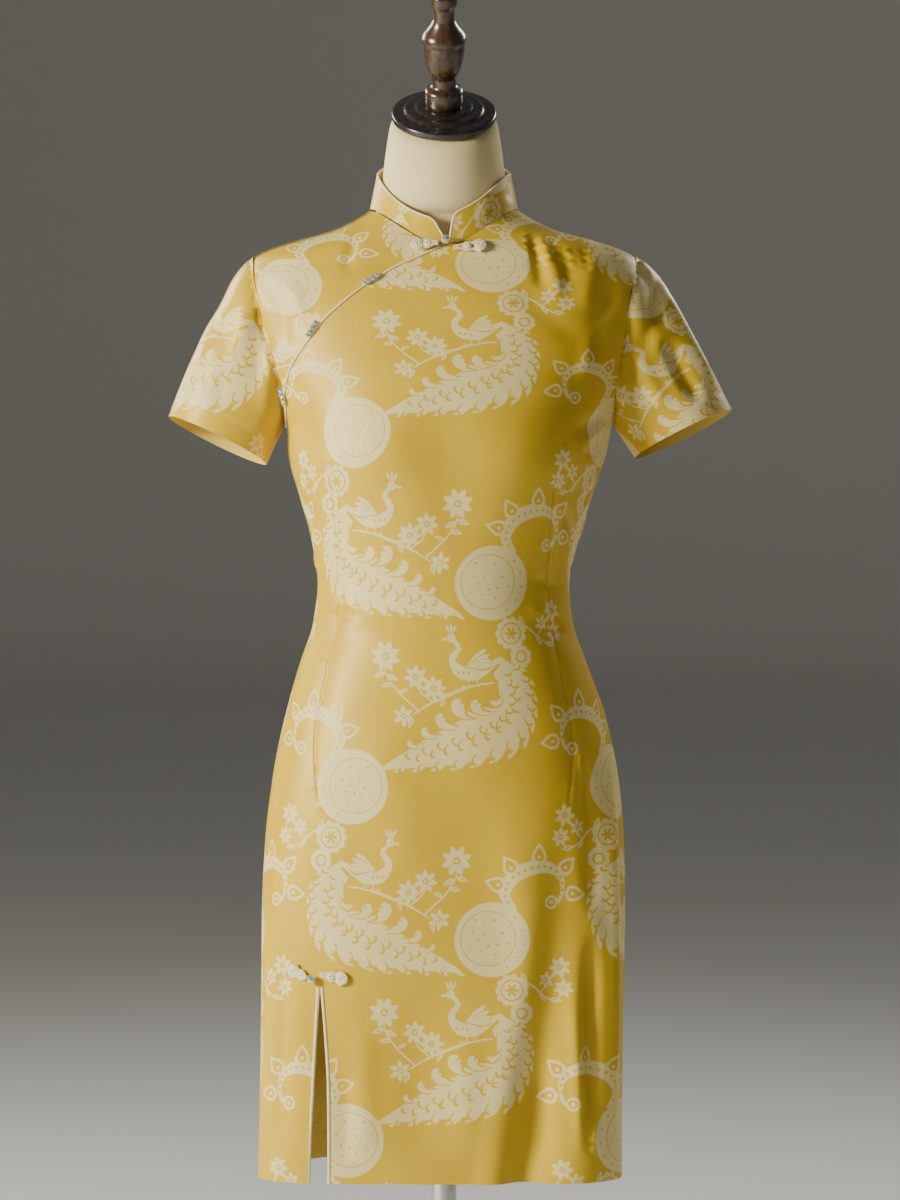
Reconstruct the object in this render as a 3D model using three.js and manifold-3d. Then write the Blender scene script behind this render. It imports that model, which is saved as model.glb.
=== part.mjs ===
// A short-sleeved cheongsam on a limbless dress form with a turned finial and a round floor base.
// Millimetres, +Z up, the wearer faces -Y. The origin is the middle of the base's underside.
// The cloth is a set of thin walls: each panel is a grid of points on one body surface, given a thickness
// inwards. The front view outlines of the flap and of the thigh slit are cut through the front wall.
import * as THREE from "three";
import { mergeVertices } from "three/addons/utils/BufferGeometryUtils.js";
import Module from "manifold-3d";

const wasm = await Module();
wasm.setup();

// ---- driving dimensions ----
const CLOTH = 1.2; // wall of the satin panels and sleeves
const COLLAR_WALL = 2; // the stiffened standing collar
const SEAM = 0.3; // gap between pieces that meet at a seam
const LAP_DEPTH = CLOTH + 0.5; // how far the under front lies beneath the flap
const HEM_Z = 438.5;
const ARMPIT_Z = 1183;
const TIP = { x: 192, z: 1348 }; // shoulder tip, where the armhole begins
const NECK = { half: 74, sideZ: 1396, frontY: -60, backY: 66 }; // neckline ring
const SHOULDER_Y = 8; // the shoulder seam's place from front to back
const FORM_EASE = 5; // how far the dress form stays inside the cloth
const FORM_BOTTOM_Z = 722;
const PIPING_D = 2.4;
const COLLAR_PIPING_D = 2;
const POLE_D = 25;
const BASE = { radius: 180, plate: 10, domeTop: 34, hubRadius: 24 };

// Body surface. Each row is a level cut: its half width and middle from side to side, and the places of its
// front, widest and back points. square is the front half's superellipse power: 2 is an ellipse and more
// is flatter.
const BODY = [
  { z: 420, half: 181.8, middle: -4, front: -88, side: -30, back: 99, square: 3 },
  { z: 560, half: 180.8, middle: -2.2, front: -94, side: -22, back: 110, square: 2.9 },
  { z: 700, half: 181.6, middle: -0.4, front: -100, side: -11, back: 119, square: 2.6 },
  { z: 767, half: 179.5, middle: 0.5, front: -103, side: -5, back: 122, square: 2.5 },
  { z: 827, half: 173.5, middle: 1.5, front: -104, side: 0, back: 120, square: 2.4 },
  { z: 887, half: 161.5, middle: 1.5, front: -100, side: 2, back: 111, square: 2.3 },
  { z: 947, half: 142.5, middle: -0.8, front: -93, side: 3, back: 97, square: 2.25 },
  { z: 985, half: 130, middle: -1, front: -89, side: 4, back: 88, square: 2.2 },
  { z: 1022, half: 126, middle: -0.5, front: -89, side: 4, back: 84, square: 2.2 },
  { z: 1067, half: 133.5, middle: 1, front: -96, side: 5, back: 87, square: 2.25 },
  { z: 1110, half: 146, middle: 1.8, front: -108, side: 6, back: 94, square: 2.3 },
  { z: 1150, half: 158.3, middle: 3, front: -117, side: 7, back: 101, square: 2.35 },
  { z: 1183, half: 163.3, middle: 4.7, front: -117, side: 8, back: 106, square: 2.35 },
  { z: 1213, half: 176, middle: 3.5, front: -112, side: 8, back: 110, square: 2.3 },
  { z: 1243, half: 187, middle: 2, front: -105, side: 8, back: 112, square: 2.3 },
  { z: 1281, half: 200, middle: 1, front: -94, side: 8, back: 110, square: 2.3 },
  { z: 1306, half: 207, middle: 0, front: -86, side: 8, back: 106, square: 2.3 },
  { z: 1328, half: 205, middle: 0, front: -77, side: 8, back: 101, square: 2.3 },
  { z: 1341, half: 198, middle: 0, front: -70, side: 8, back: 96, square: 2.3 },
  { z: 1348, half: 192, middle: 0, front: -67, side: 8, back: 93, square: 2.3 },
  { z: 1357, half: 176, middle: 0, front: -62, side: 8, back: 89, square: 2.3 },
  { z: 1366, half: 148, middle: 0, front: -57, side: 8, back: 84, square: 2.3 },
  { z: 1376, half: 112, middle: 0, front: -52, side: 8, back: 79, square: 2.3 },
  { z: 1386, half: 90, middle: 0, front: -46, side: 8, back: 76, square: 2.3 },
  { z: 1396, half: 74, middle: 0, front: -40, side: 8, back: 73, square: 2.3 },
  { z: 1408, half: 57, middle: 0, front: -30, side: 8, back: 69, square: 2.3 },
  { z: 1420, half: 36, middle: 0, front: -18, side: 8, back: 62, square: 2.3 },
  { z: 1432, half: 6, middle: 0, front: 2, side: 8, back: 40, square: 2.3 },
];
const BACK_SQUARE = 2.2;
const BUST = { x: 78, z: 1158, wide: 46, tall: 48, out: 5 }; // shaped by the darts

// The armhole seams in front view, from the armpit up to the shoulder tip, for each of the wearer's sides.
const ARMHOLE = [
  { z: 1183, right: 158.6, left: 168 },
  { z: 1195, right: 159, left: 168.6 },
  { z: 1213, right: 161, left: 170.2 },
  { z: 1243, right: 169, left: 174.5 },
  { z: 1281, right: 180, left: 180.5 },
  { z: 1306, right: 185.5, left: 184.8 },
  { z: 1330, right: 190, left: 189.5 },
  { z: 1348, right: 192, left: 192 },
];

// Soft folds that reach the skirt's hem. at is the angle round from the front, in degrees towards +X,
// wide the half width of the fold in degrees, depth its size at the hem and top where it dies out.
const FOLDS = [
  { at: 55, wide: 6.5, depth: -13, top: 860 },
  { at: 70, wide: 7, depth: 6, top: 900 },
  { at: 40, wide: 8, depth: 2.5, top: 700 },
  { at: -74, wide: 9, depth: 2, top: 760 },
  { at: 125, wide: 12, depth: -6, top: 760 },
  { at: 150, wide: 13, depth: 6, top: 800 },
  { at: -127, wide: 12, depth: -8, top: 700 },
  { at: -152, wide: 13, depth: 5, top: 720 },
];

// The flap's edge in front view, from the front neck point to the wearer's right armpit.
const FLAP_EDGE = [
  [2, 1359],
  [-10.2, 1353],
  [-24.5, 1346.5],
  [-47, 1336.4],
  [-80.8, 1315.4],
  [-113.2, 1288.4],
  [-131.7, 1265.2],
  [-145.6, 1245.4],
  [-152.8, 1229.4],
  [-155.9, 1211.6],
  [-155.4, 1196],
  [-155.4, 1180],
];
const FLAP_LAP = 22; // how far the under front goes on beneath the flap
const FLAP_START = 3; // steps along the edge before its piping begins, clear of the collar

// The thigh slit in front view: the opening between its two pipings, from its top to below the hem.
const SLIT_EDGES = [
  { z: 630, outer: -122.6, inner: -121 },
  { z: 532, outer: -128, inner: -115 },
  { z: 481, outer: -130.8, inner: -114.6 },
  { z: 424, outer: -133, inner: -114.6 },
];
const SLIT_PIPING_D = 3.2;

// Sleeve cuffs: the opening's centre, its half length in front view, half depth and lean.
const CUFFS = {
  sleeve_right: {
    side: -1, x: 226, y: -4, z: 1166.5, half: 54.5, deep: 46, drop: 26, lean: 8, head: 4, puff: 7,
  },
  sleeve_left: {
    side: 1, x: 239, y: -4, z: 1173, half: 54, deep: 47, drop: 26.5, lean: 7.5, head: 8, puff: 6,
  },
};

// Standing collar: its top ring, and how its height falls away at the two rounded front ends.
const COLLAR = {
  half: 67, frontY: -56, backY: 63, sideZ: 1431, frontZ: 1385, backZ: 1452, lift: 0.8, leftUp: 5,
};
const COLLAR_ENDS = {
  right: [
    { at: 0.2, share: 0.1 },
    { at: 1, share: 0.27 },
    { at: 4, share: 0.52 },
    { at: 8.2, share: 0.84 },
    { at: 13.4, share: 0.97 },
    { at: 26, share: 1 },
  ],
  left: [
    { at: 4.7, share: 0.1 },
    { at: 5.6, share: 0.35 },
    { at: 8.1, share: 0.8 },
    { at: 10.3, share: 0.93 },
    { at: 14, share: 1 },
    { at: 26, share: 1 },
  ],
};

// The dress form's neck above the shoulders. tip is how much lower the ring's front is than its back.
const FORM_NECK = [
  { z: 1398, half: 66, front: -46, back: 62, tip: 8 },
  { z: 1412, half: 62.5, front: -50, back: 57, tip: 14 },
  { z: 1430, half: 61, front: -52, back: 52, tip: 22 },
  { z: 1455, half: 58, front: -53, back: 47, tip: 36 },
  { z: 1474, half: 54.8, front: -52, back: 43.5, tip: 48 },
  { z: 1486.5, half: 52.3, front: -49.3, back: 41.3, tip: 52.3 },
];
const NECK_CAP = { radius: 52, centreY: -4, z: 1487, tilt: 30 };

// Frog fastenings: two rolled coils a side. at is each wing's place along the frog from its button.
const COIL = { small: 11, large: 15.5, thick: 3.2, cord: 3.2 };

// ---- small tools ----
const radians = THREE.MathUtils.degToRad;
const lerp = THREE.MathUtils.lerp;
const clamp = THREE.MathUtils.clamp;

/** A smooth curve through a table's rows, by one column against another, with no overshoot. */
function through(rows, key, column) {
  const x = rows.map((r) => r[key]);
  const y = rows.map((r) => r[column]);
  const slope = x.slice(1).map((v, i) => (y[i + 1] - y[i]) / (v - x[i]));
  const tangent = x.map((_, i) => {
    if (i === 0) return slope[0];
    if (i === x.length - 1) return slope[i - 1];
    const [a, b] = [slope[i - 1], slope[i]];
    return a * b <= 0 ? 0 : (2 * a * b) / (a + b);
  });
  return (at) => {
    const v = clamp(at, x[0], x[x.length - 1]);
    let i = 0;
    while (i < x.length - 2 && v > x[i + 1]) i += 1;
    const h = x[i + 1] - x[i];
    const t = (v - x[i]) / h;
    const [t2, t3] = [t * t, t * t * t];
    return (
      y[i] * (2 * t3 - 3 * t2 + 1) +
      y[i + 1] * (3 * t2 - 2 * t3) +
      tangent[i] * h * (t3 - 2 * t2 + t) +
      tangent[i + 1] * h * (t3 - t2)
    );
  };
}

const bodyAt = {};
for (const column of ["half", "middle", "front", "side", "back", "square"]) {
  bodyAt[column] = through(BODY, "z", column);
}
const armholeEdge = { right: through(ARMHOLE, "z", "right"), left: through(ARMHOLE, "z", "left") };
/** The armhole's distance from the middle line, on the side that x is on. */
const armholeX = (z, x) => (x < 0 ? armholeEdge.right(z) : armholeEdge.left(z));
const ridgeRows = BODY.filter((r) => r.z >= TIP.z).map((r) => ({ x: -r.half, z: r.z }));
const ridgeZ = through(ridgeRows, "x", "z"); // the shoulder line's height, by minus its distance out
const shoulderZ = (x) => ridgeZ(-Math.abs(x));

/** How far the skirt's folds move the surface out, at an angle round the body and a height. */
function foldDepth(angle, z) {
  let out = 0;
  for (const f of FOLDS) {
    const fade = clamp((f.top - z) / (f.top - HEM_Z), 0, 1);
    const off = (angle - f.at) / f.wide;
    out += f.depth * fade * fade * (3 - 2 * fade) * Math.exp(-off * off);
  }
  return out;
}

/** How far the darts push the front out over the bust. */
function bustDepth(x, z) {
  const across = (Math.abs(x) - BUST.x) / BUST.wide;
  const up = (z - BUST.z) / BUST.tall;
  return BUST.out * Math.exp(-across * across - up * up);
}

/** How far a half of a level cut reaches from its widest point. facing is -1 in front and 1 behind. */
const reachAt = (z, facing) => (facing < 0 ? bodyAt.front(z) : bodyAt.back(z)) - bodyAt.side(z);
const powerAt = (z, facing) => (facing < 0 ? bodyAt.square(z) : BACK_SQUARE);

/** The body surface's depth (y) at a place in front view, without the skirt's folds. */
function depthAt(x, z, facing) {
  const power = powerAt(z, facing);
  const across = Math.min(1, Math.abs(x - bodyAt.middle(z)) / bodyAt.half(z));
  const share = Math.pow(1 - Math.pow(across, power), 1 / power);
  const bust = facing < 0 ? bustDepth(x, z) : 0;
  return bodyAt.side(z) + (reachAt(z, facing) + facing * bust) * share;
}

/** A point of a level cut, by its turn from the front or back middle, with the skirt's folds. */
function roundPoint(turn, z, facing) {
  const power = powerAt(z, facing);
  const [s, c] = [Math.sin(turn), Math.max(0, Math.cos(turn))];
  const half = bodyAt.half(z);
  const reach = Math.abs(reachAt(z, facing));
  const across = Math.pow(Math.abs(s), 2 / power);
  const share = Math.pow(c, 2 / power);
  const x = bodyAt.middle(z) + Math.sign(s) * half * across;
  const outward = new THREE.Vector2(Math.pow(across, power - 1) / half, Math.pow(share, power - 1) / reach);
  outward.normalize();
  const angle = THREE.MathUtils.radToDeg(Math.atan2(half * across, reach * share));
  const out = foldDepth(Math.sign(s || 1) * (facing < 0 ? angle : 180 - angle), z);
  const bust = facing < 0 ? bustDepth(x, z) * share : 0;
  return new THREE.Vector3(
    x + Math.sign(s) * out * outward.x,
    bodyAt.side(z) + facing * (SEAM / 2 + reach * share + bust + out * outward.y),
    z,
  );
}

/** The neckline's place at an angle round the neck, 0 at the front middle and 180 behind. */
function necklinePoint(degrees) {
  const a = radians(degrees);
  const x = NECK.half * Math.sin(a);
  const facing = Math.cos(a) > 0 ? -1 : 1;
  const reach = (facing < 0 ? NECK.frontY : NECK.backY) - SHOULDER_Y;
  const y = SHOULDER_Y + reach * Math.abs(Math.cos(a));
  let [low, high] = [TIP.z - 40, shoulderZ(x)];
  for (let i = 0; i < 40; i += 1) {
    const mid = (low + high) / 2;
    const further = facing * (depthAt(x, mid, facing) - y) > 0;
    if (further) low = mid;
    else high = mid;
  }
  return new THREE.Vector3(x, y, (low + high) / 2);
}

// ---- walls ----

/** The outward normal at each point of a grid, from its neighbours. */
function gridNormals(grid, closed) {
  const rows = grid.length;
  const columns = grid[0].length;
  return grid.map((row, i) =>
    row.map((_, j) => {
      const left = closed ? (j + columns - 1) % columns : Math.max(0, j - 1);
      const right = closed ? (j + 1) % columns : Math.min(columns - 1, j + 1);
      const across = grid[i][right].clone().sub(grid[i][left]);
      const up = grid[Math.min(rows - 1, i + 1)][j].clone().sub(grid[Math.max(0, i - 1)][j]);
      return across.cross(up).normalize();
    }),
  );
}

/** A closed solid between two grids of the same size. closed joins the last column to the first. */
function solidBetween(outer, inner, closed) {
  const rows = outer.length;
  const columns = outer[0].length;
  const positions = [...outer.flat(), ...inner.flat()].flatMap((p) => [p.x, p.y, p.z]);
  const index = [];
  const at = (layer, i, j) => layer * rows * columns + i * columns + (j % columns);
  const quad = (a, b, c, d) => index.push(a, b, c, a, c, d);
  const lastColumn = closed ? columns : columns - 1;
  for (let i = 0; i < rows - 1; i += 1) {
    for (let j = 0; j < lastColumn; j += 1) {
      quad(at(0, i, j), at(0, i, j + 1), at(0, i + 1, j + 1), at(0, i + 1, j));
      quad(at(1, i, j), at(1, i + 1, j), at(1, i + 1, j + 1), at(1, i, j + 1));
    }
    if (!closed) {
      quad(at(0, i, 0), at(0, i + 1, 0), at(1, i + 1, 0), at(1, i, 0));
      const end = columns - 1;
      quad(at(0, i, end), at(1, i, end), at(1, i + 1, end), at(0, i + 1, end));
    }
  }
  for (let j = 0; j < lastColumn; j += 1) {
    quad(at(0, 0, j), at(1, 0, j), at(1, 0, j + 1), at(0, 0, j + 1));
    quad(at(0, rows - 1, j), at(0, rows - 1, j + 1), at(1, rows - 1, j + 1), at(1, rows - 1, j));
  }
  const geometry = new THREE.BufferGeometry();
  geometry.setAttribute("position", new THREE.Float32BufferAttribute(positions, 3));
  geometry.setIndex(index);
  return geometry;
}

/** Moves every point of a grid along its normal. */
const moved = (grid, normals, distance) =>
  grid.map((row, i) => row.map((p, j) => p.clone().addScaledVector(normals[i][j], distance)));

// ---- front and back panels ----
const ROUND_COLUMNS = 26;
const SKIRT_LEVELS = [434, 480, 540, 610, 680, 745, 805, 865, 920, 965, 1005, 1045, 1085, 1120, 1153];
const YOKE_STEPS = 11;
const MIDDLE_COLUMN = ROUND_COLUMNS / 2;
const NECK_COLUMNS = 9; // columns from the middle that end on the neckline; the rest end on the shoulder
/** How far up the yoke each step is, close together at the armpit and at the shoulder. */
const rise = (t) => (1 - Math.cos(Math.PI * t)) / 2;

/** One panel's outer grid, from the hem to the neckline and shoulders. Columns run towards +X in front. */
function panelGrid(facing) {
  const grid = SKIRT_LEVELS.map((z) => {
    const row = [];
    for (let j = 0; j <= ROUND_COLUMNS; j += 1) {
      const turn = radians(-90 + (180 * j) / ROUND_COLUMNS);
      row.push(roundPoint(turn, z, facing));
    }
    return row;
  });
  for (let i = 0; i <= YOKE_STEPS; i += 1) {
    const t = rise(i / YOKE_STEPS);
    const edgeZ = lerp(ARMPIT_Z, TIP.z, t);
    const row = [];
    for (let j = 0; j <= ROUND_COLUMNS; j += 1) {
      const column = j - MIDDLE_COLUMN;
      const low = roundPoint((Math.PI * column) / ROUND_COLUMNS, ARMPIT_Z, facing);
      const top = yokeTop(column, facing);
      const x = armholeX(edgeZ, column) * lerp(low.x / armholeX(ARMPIT_Z, column), top.x / TIP.x, t);
      const z = lerp(ARMPIT_Z, top.z, t);
      const corner = i === 0 && Math.abs(column) === MIDDLE_COLUMN;
      const y = corner ? SHOULDER_Y + (facing * SEAM) / 2 : depthAt(x, z, facing);
      row.push(i === YOKE_STEPS ? top : new THREE.Vector3(x, y, z));
    }
    grid.push(row);
  }
  return facing < 0 ? grid : grid.map((row) => row.reverse());
}

/** Where a column of the yoke ends: on the neckline near the middle, and on the shoulder seam beyond. */
function yokeTop(column, facing) {
  const beyond = Math.abs(column) - NECK_COLUMNS;
  if (beyond < 0) {
    const turn = (90 * column) / NECK_COLUMNS;
    return necklinePoint(facing < 0 ? turn : 180 - turn);
  }
  const x = Math.sign(column) * lerp(NECK.half, TIP.x, beyond / (MIDDLE_COLUMN - NECK_COLUMNS));
  return new THREE.Vector3(x, SHOULDER_Y + (facing * SEAM) / 2, shoulderZ(x));
}

/** Outward normals of a panel, turned into the seam's own plane along the side and shoulder seams. */
function panelNormals(grid) {
  const normals = gridNormals(grid, false);
  const last = grid.length - 1;
  normals.forEach((row, i) =>
    row.forEach((n, j) => {
      const sideSeam = (j === 0 || j === row.length - 1) && grid[i][j].z <= ARMPIT_Z + 1;
      const shoulderSeam = i === last && Math.abs(grid[i][j].x) >= NECK.half - 0.01;
      if (sideSeam || shoulderSeam) {
        n.y = 0;
        n.normalize();
      }
      if (i === 0) {
        n.z = 0; // the hem stays level
        n.normalize();
      }
    }),
  );
  return normals;
}

/** A panel as a wall, its outer face sunk beneath the body surface by some distance. */
function panelWall(facing, sunk = 0) {
  const grid = panelGrid(facing);
  const normals = panelNormals(grid);
  return solidBetween(moved(grid, normals, -sunk), moved(grid, normals, -sunk - CLOTH), false);
}

// ---- cuts in front view ----

/** A manifold solid of a closed geometry. */
function solidOf(geometry) {
  const bare = geometry.index ? geometry.toNonIndexed() : geometry.clone();
  bare.deleteAttribute("normal");
  bare.deleteAttribute("uv");
  const merged = mergeVertices(bare, 1e-4);
  const mesh = new wasm.Mesh({
    numProp: 3,
    vertProperties: merged.attributes.position.array,
    triVerts: new Uint32Array(merged.index.array),
  });
  return new wasm.Manifold(mesh);
}

/** The geometry of a manifold solid. */
function geometryOf(solid) {
  const mesh = solid.getMesh();
  const positions = [];
  for (let i = 0; i < mesh.numVert; i += 1) {
    positions.push(...mesh.vertProperties.subarray(i * mesh.numProp, i * mesh.numProp + 3));
  }
  const geometry = new THREE.BufferGeometry();
  geometry.setAttribute("position", new THREE.Float32BufferAttribute(positions, 3));
  geometry.setIndex([...mesh.triVerts]);
  return geometry;
}

/** A block through the front wall with an outline in front view, from one depth to another. */
function frontBlock(outline, nearY, farY) {
  const shape = new THREE.Shape(outline.map(([x, z]) => new THREE.Vector2(x, z)));
  const block = new THREE.ExtrudeGeometry(shape, { depth: farY - nearY, bevelEnabled: false });
  block.rotateX(Math.PI / 2);
  block.translate(0, farY, 0);
  return solidOf(block);
}

const flapStops = FLAP_EDGE.map(([x, z]) => new THREE.Vector3(x, 0, z));
const flapCurve = new THREE.CatmullRomCurve3(flapStops, false, "centripetal");
const flapPoints = (count) => flapCurve.getPoints(count).map((p) => [p.x, p.z]);

/** The yoke's upper right-hand region beyond the flap's edge, moved down by some lap. */
function beyondFlap(lap) {
  const edge = flapPoints(30).map(([x, z]) => [x - lap * 0.35, z - lap]);
  const [first, last] = [edge[0], edge[edge.length - 1]];
  const outline = [[first[0], 1450], ...edge, [-260, last[1]], [-260, 1450]];
  return frontBlock(outline.reverse(), -220, SHOULDER_Y + 6);
}

const slitRows = [...SLIT_EDGES].reverse();
const slitEdge = { outer: through(slitRows, "z", "outer"), inner: through(slitRows, "z", "inner") };
const SLIT_ROOM = SLIT_PIPING_D + 3 * SEAM; // from the opening to the panel's cut edge

/** The wedge that opens the thigh slit, with room for a piping on each side. */
function slitWedge() {
  const levels = [424, 450, 481, 506, 532, 580, 630];
  const outer = levels.map((z) => [slitEdge.outer(z) - SLIT_ROOM, z]);
  const inner = levels.map((z) => [slitEdge.inner(z) + SLIT_ROOM, z]);
  return frontBlock([...inner, ...outer.reverse()], -160, -36);
}

const frontWall = solidOf(panelWall(-1)).subtract(beyondFlap(0)).subtract(slitWedge());
const underWall = solidOf(panelWall(-1, LAP_DEPTH)).intersect(beyondFlap(FLAP_LAP));

// ---- sleeves ----
const SLEEVE_COLUMNS = 26;
const SLEEVE_STEPS = [0, 0.06, 0.13, 0.22, 0.34, 0.48, 0.64, 0.82, 1];

/** The armhole's place at an angle round it: 0 at the armpit, 90 in front, 180 at the shoulder tip. */
function armholePoint(side, degrees) {
  const a = radians(degrees);
  const z = lerp(ARMPIT_Z, TIP.z, (1 - Math.cos(a)) / 2);
  const facing = Math.sin(a) >= 0 ? -1 : 1;
  const x = side * armholeX(z, side);
  const y = Math.abs(Math.sin(a)) < 1e-6 ? SHOULDER_Y : depthAt(x, z, facing);
  return new THREE.Vector3(x + side * 0.7, y, z);
}

/** The cuff's place at the same angle. */
function cuffPoint(cuff, degrees) {
  const a = radians(degrees);
  const drop = radians(cuff.drop);
  const lean = radians(cuff.lean);
  const inward = new THREE.Vector3(-cuff.side * Math.cos(drop), 0, -Math.sin(drop));
  const outOfCuff = new THREE.Vector3(cuff.side * Math.sin(drop), 0, -Math.cos(drop));
  const back = new THREE.Vector3(0, Math.cos(lean), 0).addScaledVector(outOfCuff, Math.sin(lean));
  return new THREE.Vector3(cuff.side * cuff.x, cuff.y, cuff.z)
    .addScaledVector(inward, cuff.half * Math.cos(a))
    .addScaledVector(back, -cuff.deep * Math.sin(a));
}

/** How full the sleeve head is down the sleeve: most just below the shoulder tip. */
const headShape = (s) => Math.exp(-Math.pow((s - 0.13) / 0.13, 2));

/** One sleeve: a tube from the armhole to the cuff, fuller over the shoulder. */
function sleeve(cuff) {
  const grid = [];
  for (const s of SLEEVE_STEPS) {
    const row = [];
    for (let j = 0; j < SLEEVE_COLUMNS; j += 1) {
      const angle = (360 * j) / SLEEVE_COLUMNS;
      const topness = Math.max(0, -Math.cos(radians(angle)));
      const p = armholePoint(cuff.side, angle).lerp(cuffPoint(cuff, angle), s);
      const puff = topness * (cuff.head * headShape(s) + cuff.puff * Math.sin(Math.PI * s));
      row.push(p.add(new THREE.Vector3(cuff.side * puff * 0.88, 0, puff * 0.47)));
    }
    grid.push(cuff.side > 0 ? row.reverse() : row);
  }
  grid.reverse();
  const normals = gridNormals(grid, true);
  normals[grid.length - 1].forEach((n) => {
    n.x = 0; // the armhole edge's thickness lies in its own plane
    n.normalize();
  });
  return solidBetween(grid, moved(grid, normals, -CLOTH), true);
}

// ---- collar ----
const collarEnd = {
  right: through(COLLAR_ENDS.right, "at", "share"),
  left: through(COLLAR_ENDS.left, "at", "share"),
};
// Angles round the neck from the wearer's left front end to the right one.
const COLLAR_STOPS = [4.7, 5.3, 6, 7, 8.5, 11, 15, 21, 30, 42, 55, 68, 82, 98, 114, 130, 147, 163, 180];
const COLLAR_RIGHT_STOPS = [
  197, 213, 230, 246, 262, 278, 292, 305, 318, 330, 338, 344, 348.5, 352, 355, 357.5, 359, 359.8,
];
const collarAngles = [...COLLAR_STOPS, ...COLLAR_RIGHT_STOPS];

/** The collar's outer face at an angle round the neck and a share of its height there. */
function collarPoint(degrees, share) {
  const a = radians(degrees);
  const facing = Math.cos(a) > 0 ? -1 : 1;
  const c = Math.abs(Math.cos(a));
  const foot = necklinePoint(degrees);
  foot.z += COLLAR.lift;
  const facingZ = facing < 0 ? COLLAR.frontZ + (degrees < 90 ? COLLAR.leftUp : 0) : COLLAR.backZ;
  const top = new THREE.Vector3(
    COLLAR.half * Math.sin(a),
    SHOULDER_Y + ((facing < 0 ? COLLAR.frontY : COLLAR.backY) - SHOULDER_Y) * c,
    COLLAR.sideZ + (facingZ - COLLAR.sideZ) * Math.pow(c, facing > 0 ? 1.2 : degrees < 90 ? 2.5 : 1.45),
  );
  const fromFront = Math.min(degrees, 360 - degrees);
  const end = degrees < 180 ? collarEnd.left : collarEnd.right;
  return foot.lerp(top, share * end(Math.min(fromFront, 26)));
}

/** The standing collar, one band from one rounded front end round the back to the other. */
function collar() {
  const grid = [0, 0.34, 0.67, 1].map((share) => collarAngles.map((a) => collarPoint(a, share)));
  const inward = grid.map((row, i) =>
    row.map((p, j) => {
      const a = radians(collarAngles[j]);
      return p.clone().add(new THREE.Vector3(-Math.sin(a) * COLLAR_WALL, Math.cos(a) * COLLAR_WALL, 0));
    }),
  );
  return solidBetween(grid, inward, false);
}

// ---- pipings ----

/** A round piping along a route of points. */
function piping(route, diameter, steps) {
  const section = new THREE.Shape();
  section.absarc(0, 0, diameter / 2, 0, 2 * Math.PI, false);
  const path = new THREE.CatmullRomCurve3(route, false, "centripetal");
  return new THREE.ExtrudeGeometry(section, {
    steps,
    curveSegments: 4,
    bevelEnabled: false,
    extrudePath: path,
  });
}

/** The outward normal of the front surface at a place in front view. */
function frontNormal(x, z) {
  const d = 2;
  const acrossSlope = (depthAt(x + d, z, -1) - depthAt(x - d, z, -1)) / (2 * d);
  const upSlope = (depthAt(x, z + d, -1) - depthAt(x, z - d, -1)) / (2 * d);
  return new THREE.Vector3(acrossSlope, -1, upSlope).normalize();
}

/** A point above the front surface at a place in front view. */
function onFront(x, z, above) {
  return new THREE.Vector3(x, depthAt(x, z, -1), z).addScaledVector(frontNormal(x, z), above);
}

/** The flap's piping, beside the flap's edge on the under front. */
function flapPiping() {
  const points = flapPoints(40);
  const route = [];
  for (let i = FLAP_START; i < points.length - 3; i += 1) {
    const [x, z] = points[i];
    const [before, after] = [points[i - 1], points[i + 1]];
    const along = new THREE.Vector2(after[0] - before[0], after[1] - before[1]).normalize();
    const away = PIPING_D / 2 + SEAM;
    route.push(onFront(x + along.y * away, z - along.x * away, 0.6));
  }
  return piping(route, PIPING_D, 26);
}

/** One edge piping of the thigh slit: towards is -1 on its outer edge and 1 on its inner edge. */
function slitPiping(towards) {
  const edge = towards < 0 ? slitEdge.outer : slitEdge.inner;
  const route = [];
  for (let i = 0; i <= 8; i += 1) {
    const z = lerp(628, HEM_Z + 0.5, i / 8);
    route.push(onFront(edge(z) + towards * (SLIT_PIPING_D / 2 + SEAM / 2), z, -CLOTH / 2));
  }
  return piping(route, SLIT_PIPING_D, 10);
}

/** The piping along the collar's top edge and down its two rounded ends. */
function collarPiping() {
  const rim = collarAngles.map((a) => collarPoint(a, 1));
  const last = rim.length - 1;
  const route = rim.map((p, i) => {
    const turn = radians(collarAngles[i]);
    const outward = new THREE.Vector3(Math.sin(turn), -Math.cos(turn), 0);
    const along = rim[Math.min(last, i + 1)].clone().sub(rim[Math.max(0, i - 1)]);
    const above = outward.clone().cross(along).normalize();
    const onRim = p.clone().addScaledVector(outward, -COLLAR_WALL / 2);
    return onRim.addScaledVector(above, COLLAR_PIPING_D / 2 + 0.6);
  });
  return piping(route, COLLAR_PIPING_D, 72);
}

// ---- fastenings ----

/** A frame on the front surface: its x axis runs along the fastening and its z axis outwards. */
function frontFrame(x, z, above, direction) {
  const out = frontNormal(x, z);
  const along = new THREE.Vector3(direction[0], 0, direction[1]);
  along.addScaledVector(out, -along.dot(out)).normalize();
  const across = new THREE.Vector3().crossVectors(out, along);
  const matrix = new THREE.Matrix4().makeBasis(along, across, out);
  return matrix.setPosition(onFront(x, z, above));
}

/** One wing of a frog fastening: a small and a large rolled coil, with the cord that joins them. */
function frogWing(wing) {
  const reach = wing.cord;
  const outline = new THREE.Shape();
  outline.moveTo(-reach, -COIL.cord / 2);
  outline.absarc(0, 0, COIL.small / 2, Math.PI * 1.1, Math.PI * 1.75, false);
  outline.absarc(wing.apart, 0, COIL.large / 2, -Math.PI * 0.7, Math.PI * 0.7, false);
  outline.absarc(0, 0, COIL.small / 2, Math.PI * 0.25, Math.PI * 0.9, false);
  outline.lineTo(-reach, COIL.cord / 2);
  return new THREE.ExtrudeGeometry(outline, { depth: COIL.thick, bevelEnabled: false, curveSegments: 12 });
}

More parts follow.
